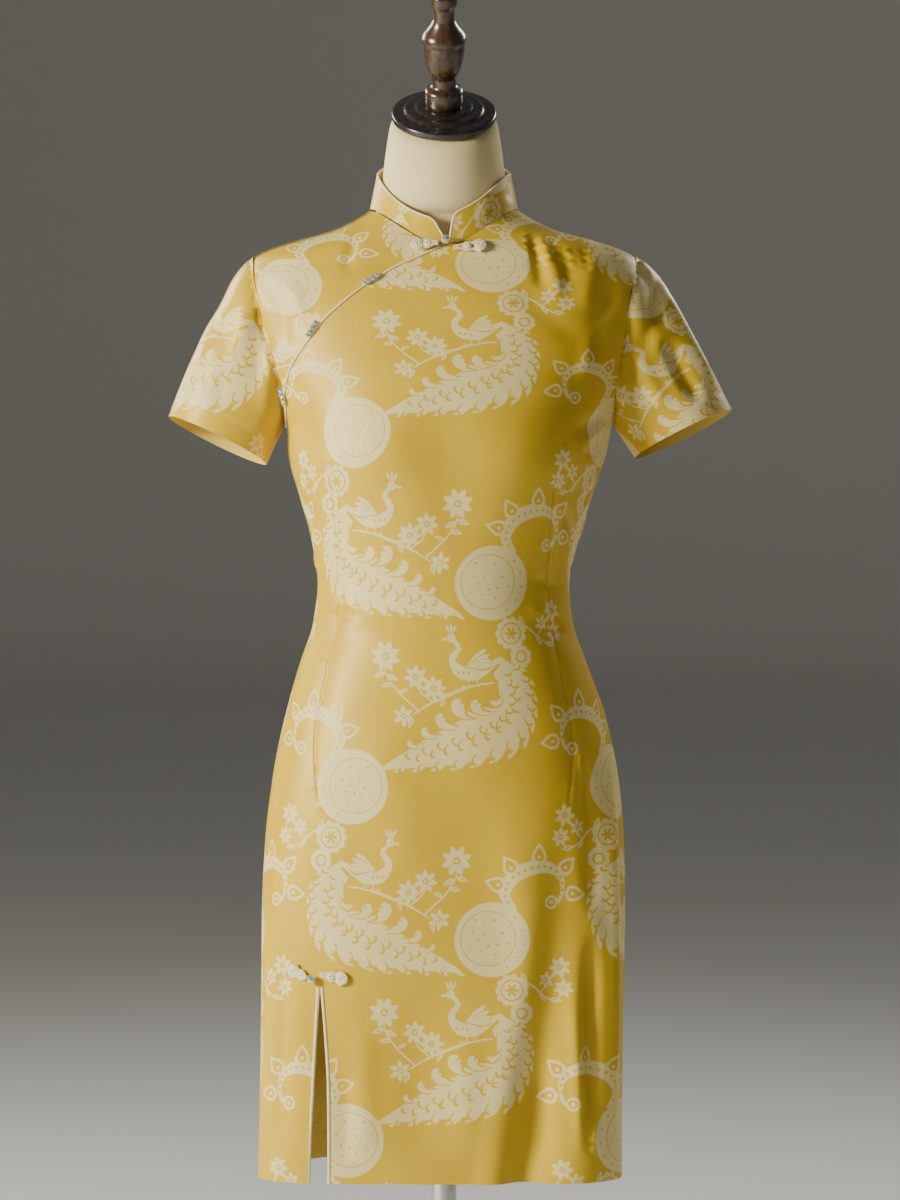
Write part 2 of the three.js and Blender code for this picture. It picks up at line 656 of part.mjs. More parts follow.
/** A bead: a low ball on the surface. */
function bead(frame, diameter) {
  return new THREE.SphereGeometry(diameter / 2, 12, 8).applyMatrix4(frame);
}

const CLASP = { length: 17, width: 7, thick: 3 };

/** A jewelled clasp: a small rounded bar along the flap's edge. */
function clasp(frame) {
  const r = CLASP.width / 2;
  const reach = CLASP.length / 2 - r;
  const outline = new THREE.Shape();
  outline.absarc(reach, 0, r, -Math.PI / 2, Math.PI / 2, false);
  outline.absarc(-reach, 0, r, Math.PI / 2, (3 * Math.PI) / 2, false);
  const settings = { depth: CLASP.thick, bevelEnabled: false, curveSegments: 6 };
  return new THREE.ExtrudeGeometry(outline, settings).applyMatrix4(frame);
}

// ---- dress form and stand ----
const FORM_COLUMNS = 44;

/** One level ring of the dress form's torso, well inside the cloth. */
function torsoRing(z) {
  const ease = FORM_EASE;
  const middle = bodyAt.middle(z);
  const toArmhole = Math.min(armholeEdge.right(z) + middle, armholeEdge.left(z) - middle) - 2;
  const half = Math.min(bodyAt.half(Math.min(z + ease, 1402)), z > ARMPIT_Z ? toArmhole : Infinity) - ease;
  const ring = [];
  for (let j = 0; j < FORM_COLUMNS; j += 1) {
    const turn = (2 * Math.PI * j) / FORM_COLUMNS;
    const [s, c] = [Math.sin(turn), Math.cos(turn)];
    const facing = c >= 0 ? -1 : 1;
    const side = bodyAt.side(z);
    const reach = Math.abs(reachAt(z, facing)) - ease - 1;
    ring.push(new THREE.Vector3(middle + half * s, side + facing * reach * Math.abs(c), z));
  }
  return ring;
}

/** One ring of the form's neck, tipped forwards. */
function neckRing(row) {
  const ring = [];
  const centre = (row.front + row.back) / 2;
  const reach = (row.back - row.front) / 2;
  for (let j = 0; j < FORM_COLUMNS; j += 1) {
    const turn = (2 * Math.PI * j) / FORM_COLUMNS;
    const c = Math.cos(turn);
    ring.push(new THREE.Vector3(row.half * Math.sin(turn), centre - reach * c, row.z - (row.tip / 2) * c));
  }
  return ring;
}

/** A closed solid through a stack of rings, with a flat fan at each end. */
function stacked(rings) {
  const columns = rings[0].length;
  const middle = (ring) => ring.reduce((sum, p) => sum.add(p), new THREE.Vector3()).divideScalar(columns);
  const points = [...rings.flat(), middle(rings[0]), middle(rings[rings.length - 1])];
  const index = [];
  const at = (i, j) => i * columns + (j % columns);
  const [foot, head] = [points.length - 2, points.length - 1];
  for (let j = 0; j < columns; j += 1) {
    for (let i = 0; i < rings.length - 1; i += 1) {
      index.push(at(i, j), at(i, j + 1), at(i + 1, j + 1), at(i, j), at(i + 1, j + 1), at(i + 1, j));
    }
    index.push(foot, at(0, j + 1), at(0, j));
    index.push(head, at(rings.length - 1, j), at(rings.length - 1, j + 1));
  }
  const geometry = new THREE.BufferGeometry();
  const positions = points.flatMap((p) => [p.x, p.y, p.z]);
  geometry.setAttribute("position", new THREE.Float32BufferAttribute(positions, 3));
  geometry.setIndex(index);
  return geometry;
}

const TORSO_LEVELS = [
  730, 745, 780, 830, 880, 925, 965, 1000, 1040, 1080, 1115, 1150, 1180, 1212, 1245, 1280, 1310, 1328, 1338,
  1345, 1352, 1359, 1366, 1374, 1383, 1390,
];

/** The dress form's torso and neck in one smooth closed body. */
function formBody() {
  const bottom = torsoRing(FORM_BOTTOM_Z);
  bottom.forEach((p) => {
    p.x *= 0.94;
    p.y *= 0.94;
  });
  return stacked([bottom, ...TORSO_LEVELS.map(torsoRing), ...FORM_NECK.map(neckRing)]);
}

/** A turned solid from a profile of radius and height, on the axis at both ends. */
function turned(profile, segments = 32) {
  const outline = profile.map(([r, h]) => new THREE.Vector2(r, h));
  return new THREE.LatheGeometry(outline, segments).rotateX(Math.PI / 2);
}

// Heights above the cap's underside, up the tipped axis that the cap and the finial share.
const CAP_PROFILE = [
  [0, 0],
  [NECK_CAP.radius - 1.5, 0],
  [NECK_CAP.radius, 2],
  [NECK_CAP.radius, 6],
  [NECK_CAP.radius - 1.5, 7.5],
  [NECK_CAP.radius - 5, 8.5],
  [NECK_CAP.radius - 12, 8.5],
  [NECK_CAP.radius - 13.5, 11],
  [NECK_CAP.radius - 17, 12],
  [NECK_CAP.radius - 23, 12],
  [NECK_CAP.radius - 25, 14.5],
  [0, 14.5],
];
const CAP_TOP = 14.5;
const FINIAL_PROFILE = [
  [0, 0],
  [17.5, 0],
  [18.8, 2.5],
  [18.8, 15],
  [17, 18.5],
  [13.2, 20.5],
  [12.2, 24],
  [12.2, 30],
  [13.2, 32.5],
  [16, 39],
  [19, 51],
  [20.8, 64],
  [20.4, 67.5],
  [22, 71],
  [21, 76],
  [16, 83],
  [12.2, 89],
  [10.6, 95],
  [10.4, 102],
  [11.4, 106],
  [13.4, 110],
  [13.4, 117],
  [11.6, 121],
  [13.2, 126],
  [14.4, 133],
  [12, 142],
  [6.5, 149],
  [0, 151],
];

// ---- assembly ----
const COLOURS = {
  satin: { color: 0xcfae58, roughness: 0.42, metalness: 0 },
  cream: { color: 0xe8d9a8, roughness: 0.45, metalness: 0 },
  crystal: { color: 0xdfe3ea, roughness: 0.08, metalness: 0.3 },
  clasp: { color: 0x8a8f98, roughness: 0.25, metalness: 0.9 },
  linen: { color: 0xd9c99c, roughness: 0.85, metalness: 0 },
  wood: { color: 0x33261c, roughness: 0.3, metalness: 0 },
  steel: { color: 0xc9ccc8, roughness: 0.15, metalness: 1 },
  paint: { color: 0x1d1b19, roughness: 0.45, metalness: 0 },
};

const garment = new THREE.Group();
const stand = new THREE.Group();
const dressOnForm = new THREE.Group();
dressOnForm.add(garment, stand);

/** Adds a named piece of one material to a group. */
function add(group, name, geometry, colour) {
  const mesh = new THREE.Mesh(geometry, new THREE.MeshStandardMaterial(COLOURS[colour]));
  mesh.name = name;
  group.add(mesh);
  return mesh;
}

add(garment, "front_panel", geometryOf(frontWall), "satin");
add(garment, "under_front", geometryOf(underWall), "satin");
add(garment, "back_panel", panelWall(1), "satin");
for (const [name, cuff] of Object.entries(CUFFS)) {
  add(garment, name, sleeve(cuff), "satin");
}
add(garment, "collar", collar(), "satin");
add(garment, "flap_piping", flapPiping(), "cream");
add(garment, "slit_piping_outer", slitPiping(-1), "cream");
add(garment, "slit_piping_inner", slitPiping(1), "cream");
add(garment, "collar_piping", collarPiping(), "cream");

// Each wing: where its small coil is on the front, how far its large coil and its cord reach from there,
// its height above the cloth and the direction away from its button.
const FROG_WINGS = [
  { name: "neck_frog_right", x: -15.7, z: 1358, apart: 10.2, cord: 10, above: 4.6, direction: [-1, -0.02] },
  { name: "neck_frog_left", x: 23, z: 1355.7, apart: 12.5, cord: 14, above: 2.4, direction: [1, 0.14] },
  { name: "slit_frog_outer", x: -139.7, z: 641, apart: 8.6, cord: 6.5, above: 1.6, direction: [-1, 0.45] },
  { name: "slit_frog_inner", x: -110, z: 640.2, apart: 10.4, cord: 12, above: 1.4, direction: [1, -0.16] },
];
for (const wing of FROG_WINGS) {
  const frame = frontFrame(wing.x, wing.z, wing.above, wing.direction);
  add(garment, wing.name, frogWing(wing).applyMatrix4(frame), "cream");
}
const BEADS = [
  { name: "neck_button", x: 1.7, z: 1360.5, above: 7.6, size: 8.5 },
  { name: "slit_button", x: -128.7, z: 637.2, above: 6.6, size: 8.5 },
];
for (const b of BEADS) {
  add(garment, b.name, bead(frontFrame(b.x, b.z, b.above, [1, 0]), b.size), "crystal");
}
const CLASPS = [
  { name: "clasp_upper", x: -70.5, z: 1324.5, along: [-1, -0.68] },
  { name: "clasp_middle", x: -128, z: 1276.5, along: [-0.68, -1] },
  { name: "clasp_lower", x: -157.4, z: 1211.7, along: [-0.05, -1] },
];
for (const c of CLASPS) {
  add(garment, c.name, clasp(frontFrame(c.x, c.z, 2.6, c.along)), "clasp");
}

add(stand, "form_body", formBody(), "linen");
const cap = add(stand, "neck_cap", turned(CAP_PROFILE, 40), "wood");
cap.rotation.x = radians(NECK_CAP.tilt);
cap.position.set(0, NECK_CAP.centreY, NECK_CAP.z);
const capAxis = new THREE.Vector3(0, 0, 1).applyAxisAngle(new THREE.Vector3(1, 0, 0), cap.rotation.x);
const finial = add(stand, "finial", turned(FINIAL_PROFILE, 28), "wood");
finial.rotation.x = cap.rotation.x;
finial.position.copy(cap.position).addScaledVector(capAxis, CAP_TOP + SEAM);
const poleTop = FORM_BOTTOM_Z - SEAM;
const poleFoot = BASE.domeTop + SEAM;
const SOCKET = { radius: 21, flange: 34, height: 46, plate: 5 };
const socketProfile = [
  [POLE_D / 2 + SEAM, -SOCKET.height],
  [SOCKET.radius - 2, -SOCKET.height],
  [SOCKET.radius, -SOCKET.height + 2],
  [SOCKET.radius, -SOCKET.plate],
  [SOCKET.flange, -SOCKET.plate],
  [SOCKET.flange, 0],
  [POLE_D / 2 + SEAM, 0],
  [POLE_D / 2 + SEAM, -SOCKET.height],
];
add(stand, "pole_socket", turned(socketProfile, 28), "steel").position.z = FORM_BOTTOM_Z - SEAM;
const poleBar = new THREE.CylinderGeometry(POLE_D / 2, POLE_D / 2, poleTop - poleFoot, 28);
const pole = add(stand, "pole", poleBar.rotateX(Math.PI / 2), "steel");
pole.position.z = (poleTop + poleFoot) / 2;
const baseProfile = [
  [0, 0],
  [BASE.radius - 2, 0],
  [BASE.radius, 2],
  [BASE.radius, BASE.plate - 4],
  [BASE.radius - 4, BASE.plate],
  [BASE.radius - 30, BASE.plate + 4],
  [BASE.radius - 90, BASE.plate + 11],
  [BASE.hubRadius + 14, BASE.plate + 17],
  [BASE.hubRadius, BASE.domeTop - 6],
  [BASE.hubRadius - 2, BASE.domeTop],
  [0, BASE.domeTop],
];
add(stand, "stand_base", turned(baseProfile, 48), "paint");

export default dressOnForm;
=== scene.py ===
import logging
import math
from collections.abc import Callable, Iterable, Sequence
from dataclasses import dataclass, field
from enum import Enum

import bmesh
import bpy
import numpy as np
from mathutils import Matrix, Vector
from mathutils.geometry import delaunay_2d_cdt


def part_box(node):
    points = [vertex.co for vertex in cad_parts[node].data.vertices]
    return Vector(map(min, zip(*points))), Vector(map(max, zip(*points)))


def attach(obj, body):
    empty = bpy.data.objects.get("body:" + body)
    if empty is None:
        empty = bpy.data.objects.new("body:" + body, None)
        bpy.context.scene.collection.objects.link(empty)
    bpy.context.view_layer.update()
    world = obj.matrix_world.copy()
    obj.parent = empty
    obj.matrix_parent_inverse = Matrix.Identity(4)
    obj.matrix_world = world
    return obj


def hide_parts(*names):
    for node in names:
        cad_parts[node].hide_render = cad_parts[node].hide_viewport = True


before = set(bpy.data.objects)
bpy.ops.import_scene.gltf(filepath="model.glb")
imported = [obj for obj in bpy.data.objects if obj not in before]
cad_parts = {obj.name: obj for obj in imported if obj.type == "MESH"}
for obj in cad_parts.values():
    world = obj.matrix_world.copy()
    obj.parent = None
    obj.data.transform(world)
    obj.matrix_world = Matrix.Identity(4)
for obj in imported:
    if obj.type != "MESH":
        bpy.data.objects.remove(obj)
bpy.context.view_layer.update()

MM = 0.001  # this file's own sizes are in millimetres; meshes are in metres
LOG = logging.getLogger("cheongsam")

Array = np.ndarray
Point2 = tuple[float, float]


class Facing(Enum):
    """Which half of the body a panel covers, as the sign of its y direction."""

    FRONT = -1
    BACK = 1


class Curve:
    """A smooth curve through a table's rows, with no overshoot."""

    def __init__(self, stops: Sequence[float], values: Sequence[float]) -> None:
        """Works out the tangent at each row.

        Args:
            stops: Rising positions of the rows.
            values: The value at each row.
        """
        self.x = np.asarray(stops, float)
        self.y = np.asarray(values, float)
        slope = np.diff(self.y) / np.diff(self.x)
        inner = np.where(
            slope[:-1] * slope[1:] <= 0,
            0.0,
            2 * slope[:-1] * slope[1:] / np.where(slope[:-1] + slope[1:] == 0, 1, slope[:-1] + slope[1:]),
        )
        self.tangent = np.concatenate([[slope[0]], inner, [slope[-1]]])

    def __call__(self, at: Array | float) -> Array:
        """The curve's value at one or more positions."""
        v = np.clip(np.asarray(at, float), self.x[0], self.x[-1])
        i = np.clip(np.searchsorted(self.x, v, side="left") - 1, 0, len(self.x) - 2)
        h = self.x[i + 1] - self.x[i]
        t = (v - self.x[i]) / h
        t2, t3 = t * t, t * t * t
        return (
            self.y[i] * (2 * t3 - 3 * t2 + 1)
            + self.y[i + 1] * (3 * t2 - 2 * t3)
            + self.tangent[i] * h * (t3 - 2 * t2 + t)
            + self.tangent[i + 1] * h * (t3 - t2)
        )


# Level cuts of the body surface: half width, middle, front, widest and back places, and the front's
# squareness.
BODY_COLUMNS = ("z", "half", "middle", "front", "side", "back", "square")
BODY = (
    (420, 181.8, -4, -88, -30, 99, 3),
    (560, 180.8, -2.2, -94, -22, 110, 2.9),
    (700, 181.6, -0.4, -100, -11, 119, 2.6),
    (767, 179.5, 0.5, -103, -5, 122, 2.5),
    (827, 173.5, 1.5, -104, 0, 120, 2.4),
    (887, 161.5, 1.5, -100, 2, 111, 2.3),
    (947, 142.5, -0.8, -93, 3, 97, 2.25),
    (985, 130, -1, -89, 4, 88, 2.2),
    (1022, 126, -0.5, -89, 4, 84, 2.2),
    (1067, 133.5, 1, -96, 5, 87, 2.25),
    (1110, 146, 1.8, -108, 6, 94, 2.3),
    (1150, 158.3, 3, -117, 7, 101, 2.35),
    (1183, 163.3, 4.7, -117, 8, 106, 2.35),
    (1213, 176, 3.5, -112, 8, 110, 2.3),
    (1243, 187, 2, -105, 8, 112, 2.3),
    (1281, 200, 1, -94, 8, 110, 2.3),
    (1306, 207, 0, -86, 8, 106, 2.3),
    (1328, 205, 0, -77, 8, 101, 2.3),
    (1341, 198, 0, -70, 8, 96, 2.3),
    (1348, 192, 0, -67, 8, 93, 2.3),
    (1357, 176, 0, -62, 8, 89, 2.3),
    (1366, 148, 0, -57, 8, 84, 2.3),
    (1376, 112, 0, -52, 8, 79, 2.3),
    (1386, 90, 0, -46, 8, 76, 2.3),
    (1396, 74, 0, -40, 8, 73, 2.3),
    (1408, 57, 0, -30, 8, 69, 2.3),
    (1420, 36, 0, -18, 8, 62, 2.3),
    (1432, 6, 0, 2, 8, 40, 2.3),
)
# The armhole seams' distance out, for the wearer's right and left, up to the shoulder tip.
ARMHOLE = (
    (1183, 158.6, 168),
    (1195, 159, 168.6),
    (1213, 161, 170.2),
    (1243, 169, 174.5),
    (1281, 180, 180.5),
    (1306, 185.5, 184.8),
    (1330, 190, 189.5),
    (1348, 192, 192),
)
# The skirt's largest folds: angle round from the front, half width in degrees, depth at the hem, top height.
FOLDS = (
    (55, 6.5, -13, 860),
    (70, 7, 6, 900),
    (40, 8, 2.5, 700),
    (-74, 9, 2, 760),
    (125, 12, -6, 760),
    (150, 13, 6, 800),
    (-127, 12, -8, 700),
    (-152, 13, 5, 720),
)
# How far up the cloth a height lies, longer where the yoke slopes back.
GRAIN = (
    (400, 400),
    (1100, 1100),
    (1180, 1181),
    (1225, 1232),
    (1285, 1307),
    (1345, 1384),
    (1396, 1468),
    (1440, 1560),
)
# The flap's edge in front view, from the front neck point to the wearer's right armpit.
FLAP_EDGE = (
    (2, 1359),
    (-10.2, 1353),
    (-24.5, 1346.5),
    (-47, 1336.4),
    (-80.8, 1315.4),
    (-113.2, 1288.4),
    (-131.7, 1265.2),
    (-145.6, 1245.4),
    (-152.8, 1229.4),
    (-155.9, 1211.6),
    (-155.4, 1196),
    (-155.4, 1180),
)
# The thigh slit in front view: height, and the opening's edge on its outer and inner side.
SLIT = (
    (424, -133, -114.6),
    (481, -130.8, -114.6),
    (532, -128, -115),
    (580, -125.4, -117.6),
    (628, -122.4, -121.4),
)
SEAM = 0.3
HEM_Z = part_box("front_panel")[0][2] / MM
ARMPIT_Z = 1183.0
TIP = (192.0, 1348.0)
NECK_HALF = 74.0
SHOULDER_Y = 8.0
FLAP_FOOT = (-155.4, 1180.0)
SLIT_TOP_Z = 629.0
FORM = ("form_body",)
# The box of flat cloth, beside the thigh slit, whose reverse shows its figures.
BY_THE_SLIT = ((-300, 380), (-90, 700))
BUST = {"x": 78, "z": 1158, "wide": 46, "tall": 48, "out": 5}


def column(rows: Sequence[Sequence[float]], index: int) -> list[float]:
    """One column of a table."""
    return [row[index] for row in rows]


LEVEL = {name: Curve(column(BODY, 0), column(BODY, i)) for i, name in enumerate(BODY_COLUMNS) if i}
ARMHOLE_X = {
    -1: Curve(column(ARMHOLE, 0), column(ARMHOLE, 1)),
    1: Curve(column(ARMHOLE, 0), column(ARMHOLE, 2)),
}
RIDGE = [row for row in BODY if row[0] >= TIP[1]]
RIDGE_Z = Curve([-row[1] for row in RIDGE], column(RIDGE, 0))
CLOTH_UP = Curve(column(GRAIN, 0), column(GRAIN, 1))
HEIGHT_OF = Curve(column(GRAIN, 1), column(GRAIN, 0))


def smoothstep(t: Array) -> Array:
    """A soft rise from 0 to 1."""
    t = np.clip(t, 0, 1)
    return t * t * (3 - 2 * t)


def cubic_taps(position: Array, count: int) -> tuple[list[Array], list[Array]]:
    """The four neighbours of positions on a regular grid, and their smooth weights.

    Args:
        position: Positions in grid steps.
        count: How many grid points there are.

    Returns:
        The neighbours' indices and the weight of each.
    """
    position = np.clip(position, 0, count - 1)
    i = np.clip(np.floor(position).astype(int), 0, count - 2)
    t = position - i
    weights = [
        -0.5 * t + t**2 - 0.5 * t**3,
        1 - 2.5 * t**2 + 1.5 * t**3,
        0.5 * t + 2 * t**2 - 1.5 * t**3,
        -0.5 * t**2 + 0.5 * t**3,
    ]
    return [np.clip(i + k, 0, count - 1) for k in (-1, 0, 1, 2)], weights


class BodySurface:
    """One half of the dress's body as a surface over flat cloth: u runs round it and v up it."""

    LOW, HIGH, STEP = 416.0, 1432.0, 4.0
    ROUND = 160

    def __init__(self, facing: Facing) -> None:
        """Measures how long each level cut is.

        Args:
            facing: Which half of the body this is.
        """
        self.facing = facing.value
        self.levels = np.arange(self.LOW, self.HIGH + 0.1, self.STEP)
        turns = np.linspace(0, math.pi / 2, 241)
        z = np.repeat(self.levels[:, None], len(turns), 1)
        points = self.cut(np.repeat(turns[None], len(self.levels), 0), z, folds=False)
        lengths = np.linalg.norm(np.diff(points, axis=1), axis=2)
        self.arcs = np.concatenate([np.zeros((len(self.levels), 1)), np.cumsum(lengths, 1)], 1)
        self.turns = turns
        self.total = self.arcs[:, -1]
        shares = np.linspace(0, 1, self.ROUND + 1)
        self.turn_table = np.array([np.interp(shares * a[-1], a, turns) for a in self.arcs])

    def reach(self, z: Array) -> Array:
        """How far a level cut goes from its widest place to its front or back middle."""
        end = LEVEL["front"](z) if self.facing < 0 else LEVEL["back"](z)
        return np.abs(end - LEVEL["side"](z))

    def power(self, z: Array) -> Array:
        """How square a level cut is."""
        return LEVEL["square"](z) if self.facing < 0 else np.full(np.shape(z), 2.2)

    def depth(self, x: Array, z: Array) -> Array:
        """The surface's y at places in front view."""
        power = self.power(z)
        across = np.minimum(1, np.abs(x - LEVEL["middle"](z)) / LEVEL["half"](z))
        share = (1 - across**power) ** (1 / power)
        return LEVEL["side"](z) + self.facing * (self.reach(z) + self.bust(x, z)) * share

    def bust(self, x: Array, z: Array) -> Array:
        """How far the darts push the front out."""
        if self.facing > 0:
            return np.zeros(np.shape(x))
        across = (np.abs(x) - BUST["x"]) / BUST["wide"]
        up = (z - BUST["z"]) / BUST["tall"]
        return BUST["out"] * np.exp(-(across**2) - up**2)

    def cut(self, turn: Array, z: Array, folds: bool = True) -> Array:
        """Points of level cuts.

        Args:
            turn: Turns from the front or back middle, in radians.
            z: Heights.
            folds: Whether the skirt's large folds are on them.

        Returns:
            The points, in millimetres.
        """
        power = self.power(z)
        s, c = np.sin(turn), np.maximum(0, np.cos(turn))
        half, reach = LEVEL["half"](z), self.reach(z)
        across, share = np.abs(s) ** (2 / power), c ** (2 / power)
        side = np.where(s < 0, -1.0, 1.0)
        x = LEVEL["middle"](z) + side * half * across
        out_x, out_y = across ** (power - 1) / half, share ** (power - 1) / reach
        size = np.hypot(out_x, out_y)
        out = np.zeros(np.shape(x))
        if folds:
            angle = np.degrees(np.arctan2(half * across, reach * share))
            angle = side * (angle if self.facing < 0 else 180 - angle)
            for at, wide, deep, top in FOLDS:
                fade = smoothstep((top - z) / (top - 438.5))
                out = out + deep * fade * np.exp(-(((angle - at) / wide) ** 2))
        y = LEVEL["side"](z) + self.facing * (
            SEAM / 2 + reach * share + self.bust(x, z) * share + out * out_y / size
        )
        return np.stack([x + side * out * out_x / size, y, z], -1)

    def turn_at(self, x: Array, z: Array) -> Array:
        """The turn from the middle at places in front view."""
        off = np.asarray(x, float) - LEVEL["middle"](z)
        across = np.minimum(1, np.abs(off) / LEVEL["half"](z))
        return np.sign(off) * np.arcsin(across ** (self.power(z) / 2))

    def around(self, x: Array, z: Array) -> Array:
        """How far round the cloth from its middle places in front view are."""
        turn = self.turn_at(x, z)
        level = np.clip((np.asarray(z, float) - self.LOW) / self.STEP, 0, len(self.levels) - 1.001)
        i = level.astype(int)
        t = level - i
        step = np.abs(turn) / self.turns[1]
        j = np.minimum(step.astype(int), len(self.turns) - 2)
        w = step - j

        def blend(k: Array) -> Array:
            """The arc on one level."""
            return self.arcs[k, j] * (1 - w) + self.arcs[k, j + 1] * w

        return np.sign(turn) * (blend(i) * (1 - t) + blend(i + 1) * t)

    def flat(self, x: Array, z: Array) -> Array:
        """Places in front view as places on the flat cloth."""
        x, z = np.broadcast_arrays(np.asarray(x, float), np.asarray(z, float))
        return np.stack([self.around(x, z), CLOTH_UP(z)], -1)

    def __call__(self, uv: Array) -> Array:
        """The points of places on the flat cloth, in millimetres."""
        u, z = uv[:, 0], HEIGHT_OF(uv[:, 1])
        rows, row_weights = cubic_taps((z - self.LOW) / self.STEP, len(self.levels))
        total = sum(self.total[i] * w for i, w in zip(rows, row_weights))
        share = np.abs(u) / total
        columns, column_weights = cubic_taps(share * self.ROUND, self.ROUND + 1)
        turn = np.zeros(len(u))
        for i, w in zip(rows, row_weights):
            for j, q in zip(columns, column_weights):
                turn += self.turn_table[i, j] * w * q
        return self.cut(np.sign(u) * np.clip(turn, 0, math.pi / 2), z)


FRONT = BodySurface(Facing.FRONT)
BACK = BodySurface(Facing.BACK)


def shoulder_z(x: Array) -> Array:
    """The shoulder line's height."""
    return RIDGE_Z(-np.abs(x))


def neckline(degrees: Array) -> Array:
    """The neckline's points at angles round the neck, 0 at the front middle and 180 behind."""
    a = np.radians(degrees)
    x, c = NECK_HALF * np.sin(a), np.cos(a)
    low, high = np.full(x.shape, TIP[1] - 40), shoulder_z(x)
    y = SHOULDER_Y + np.where(c > 0, -60 - SHOULDER_Y, 66 - SHOULDER_Y) * np.abs(c)
    for _ in range(36):
        mid = (low + high) / 2
        further = np.where(c > 0, y - FRONT.depth(x, mid), BACK.depth(x, mid) - y) > 0
        low, high = np.where(further, mid, low), np.where(further, high, mid)
    return np.stack([x, y, (low + high) / 2], -1)


def catmull(points: Sequence[Sequence[float]], count: int) -> Array:
    """A smooth open curve through points, sampled evenly by its own parameter.

    Args:
        points: Points the curve goes through.
        count: How many samples it gives.

    Returns:
        The samples, one in each row.
    """
    p = np.asarray(points, float)
    index, weights = cubic_taps(np.linspace(0, len(p) - 1, count), len(p))
    return sum(p[i] * w[:, None] for i, w in zip(index, weights))


def respaced(points: Array, gap: float) -> Array:
    """An open line's points, set evenly about one gap apart."""
    lengths = np.concatenate([[0], np.cumsum(np.linalg.norm(np.diff(points, axis=0), axis=1))])
    count = max(2, int(lengths[-1] / gap) + 1)
    at = np.linspace(0, lengths[-1], count)
    return np.stack([np.interp(at, lengths, points[:, k]) for k in range(points.shape[1])], 1)


# ---- finishes ----


def linear(red: int, green: int, blue: int) -> tuple[float, float, float, float]:
    """A colour of 0 to 255 steps, as the shader wants it."""
    channels = [c / 255 for c in (red, green, blue)]
    return (*[c / 12.92 if c <= 0.04045 else ((c + 0.055) / 1.055) ** 2.4 for c in channels], 1.0)


class Nodes:
    """A material's node tree, filled a node at a time."""

    def __init__(self, name: str) -> None:
        """Starts a material with just its surface shader.

        Args:
            name: The material's name.
        """
        self.material = bpy.data.materials.new(name)
        self.material.use_nodes = True
        self.tree = self.material.node_tree
        self.shader = self.tree.nodes["Principled BSDF"]
        self.place = self.tree.nodes.new("ShaderNodeTexCoord")

    def add(self, kind: str, **settings: object) -> bpy.types.Node:
        """A new node, with its own properties and the values of its sockets set.

        Args:
            kind: The node's type.
            **settings: Properties, or values or links of its sockets, spaces as underscores.

        Returns:
            The node.
        """
        node = self.tree.nodes.new(kind)
        for key, value in settings.items():
            if hasattr(node, key):
                setattr(node, key, value)
        for key, value in settings.items():
            if not hasattr(node, key):
                self.put(node.inputs[key.replace("_", " ")], value)
        return node

    def put(self, socket: bpy.types.NodeSocket, value: object) -> None:
        """A value on a socket, or a link into it."""
        if isinstance(value, bpy.types.NodeSocket):
            self.tree.links.new(value, socket)
        else:
            socket.default_value = value

    def dress(self, **values: object) -> None:
        """Values or links on the surface shader's sockets, spaces as underscores."""
        for key, value in values.items():
            self.put(self.shader.inputs[key.replace("_", " ")], value)

    def noise(
        self, scale: float, detail: float = 2.0, stretch: Sequence[float] = (1, 1, 1)
    ) -> bpy.types.NodeSocket:
        """Soft noise on object coordinates.

        Args:
            scale: Its lumps to a metre.
            detail: How fine it goes.
            stretch: How the coordinates are scaled first.

        Returns:
            The noise's factor socket.
        """
        mapping = self.add("ShaderNodeMapping", Vector=self.place.outputs["Object"], Scale=tuple(stretch))
        node = self.add("ShaderNodeTexNoise", Vector=mapping.outputs["Vector"], Scale=scale, Detail=detail)
        return node.outputs["Fac"]

    def mixed(
        self,
        factor: bpy.types.NodeSocket,
        low: Sequence[float],
        high: Sequence[float],
        start: float,
        end: float,
    ) -> bpy.types.NodeSocket:
        """A colour that goes from one to another with a factor.

        Args:
            factor: What drives it.
            low: The colour at the start.
            high: The colour at the end.
            start: The factor where it begins to change.
            end: The factor where it has changed.

        Returns:
            The colour socket.
        """
        ramp = self.add("ShaderNodeValToRGB", Fac=factor)
        ramp.color_ramp.elements[0].position, ramp.color_ramp.elements[1].position = start, end
        ramp.color_ramp.elements[0].color, ramp.color_ramp.elements[1].color = low, high
        return ramp.outputs["Color"]

    def scaled(self, factor: bpy.types.NodeSocket, low: float, high: float) -> bpy.types.NodeSocket:
        """A factor of 0 to 1, moved to lie between two values."""
        return self.add("ShaderNodeMapRange", Value=factor, To_Min=low, To_Max=high).outputs["Result"]

    def bump(self, height: bpy.types.NodeSocket, strength: float, distance: float) -> bpy.types.NodeSocket:
        """A bump of some strength and depth in metres."""
        node = self.add("ShaderNodeBump", Height=height, Strength=strength, Distance=distance)
        return node.outputs["Normal"]


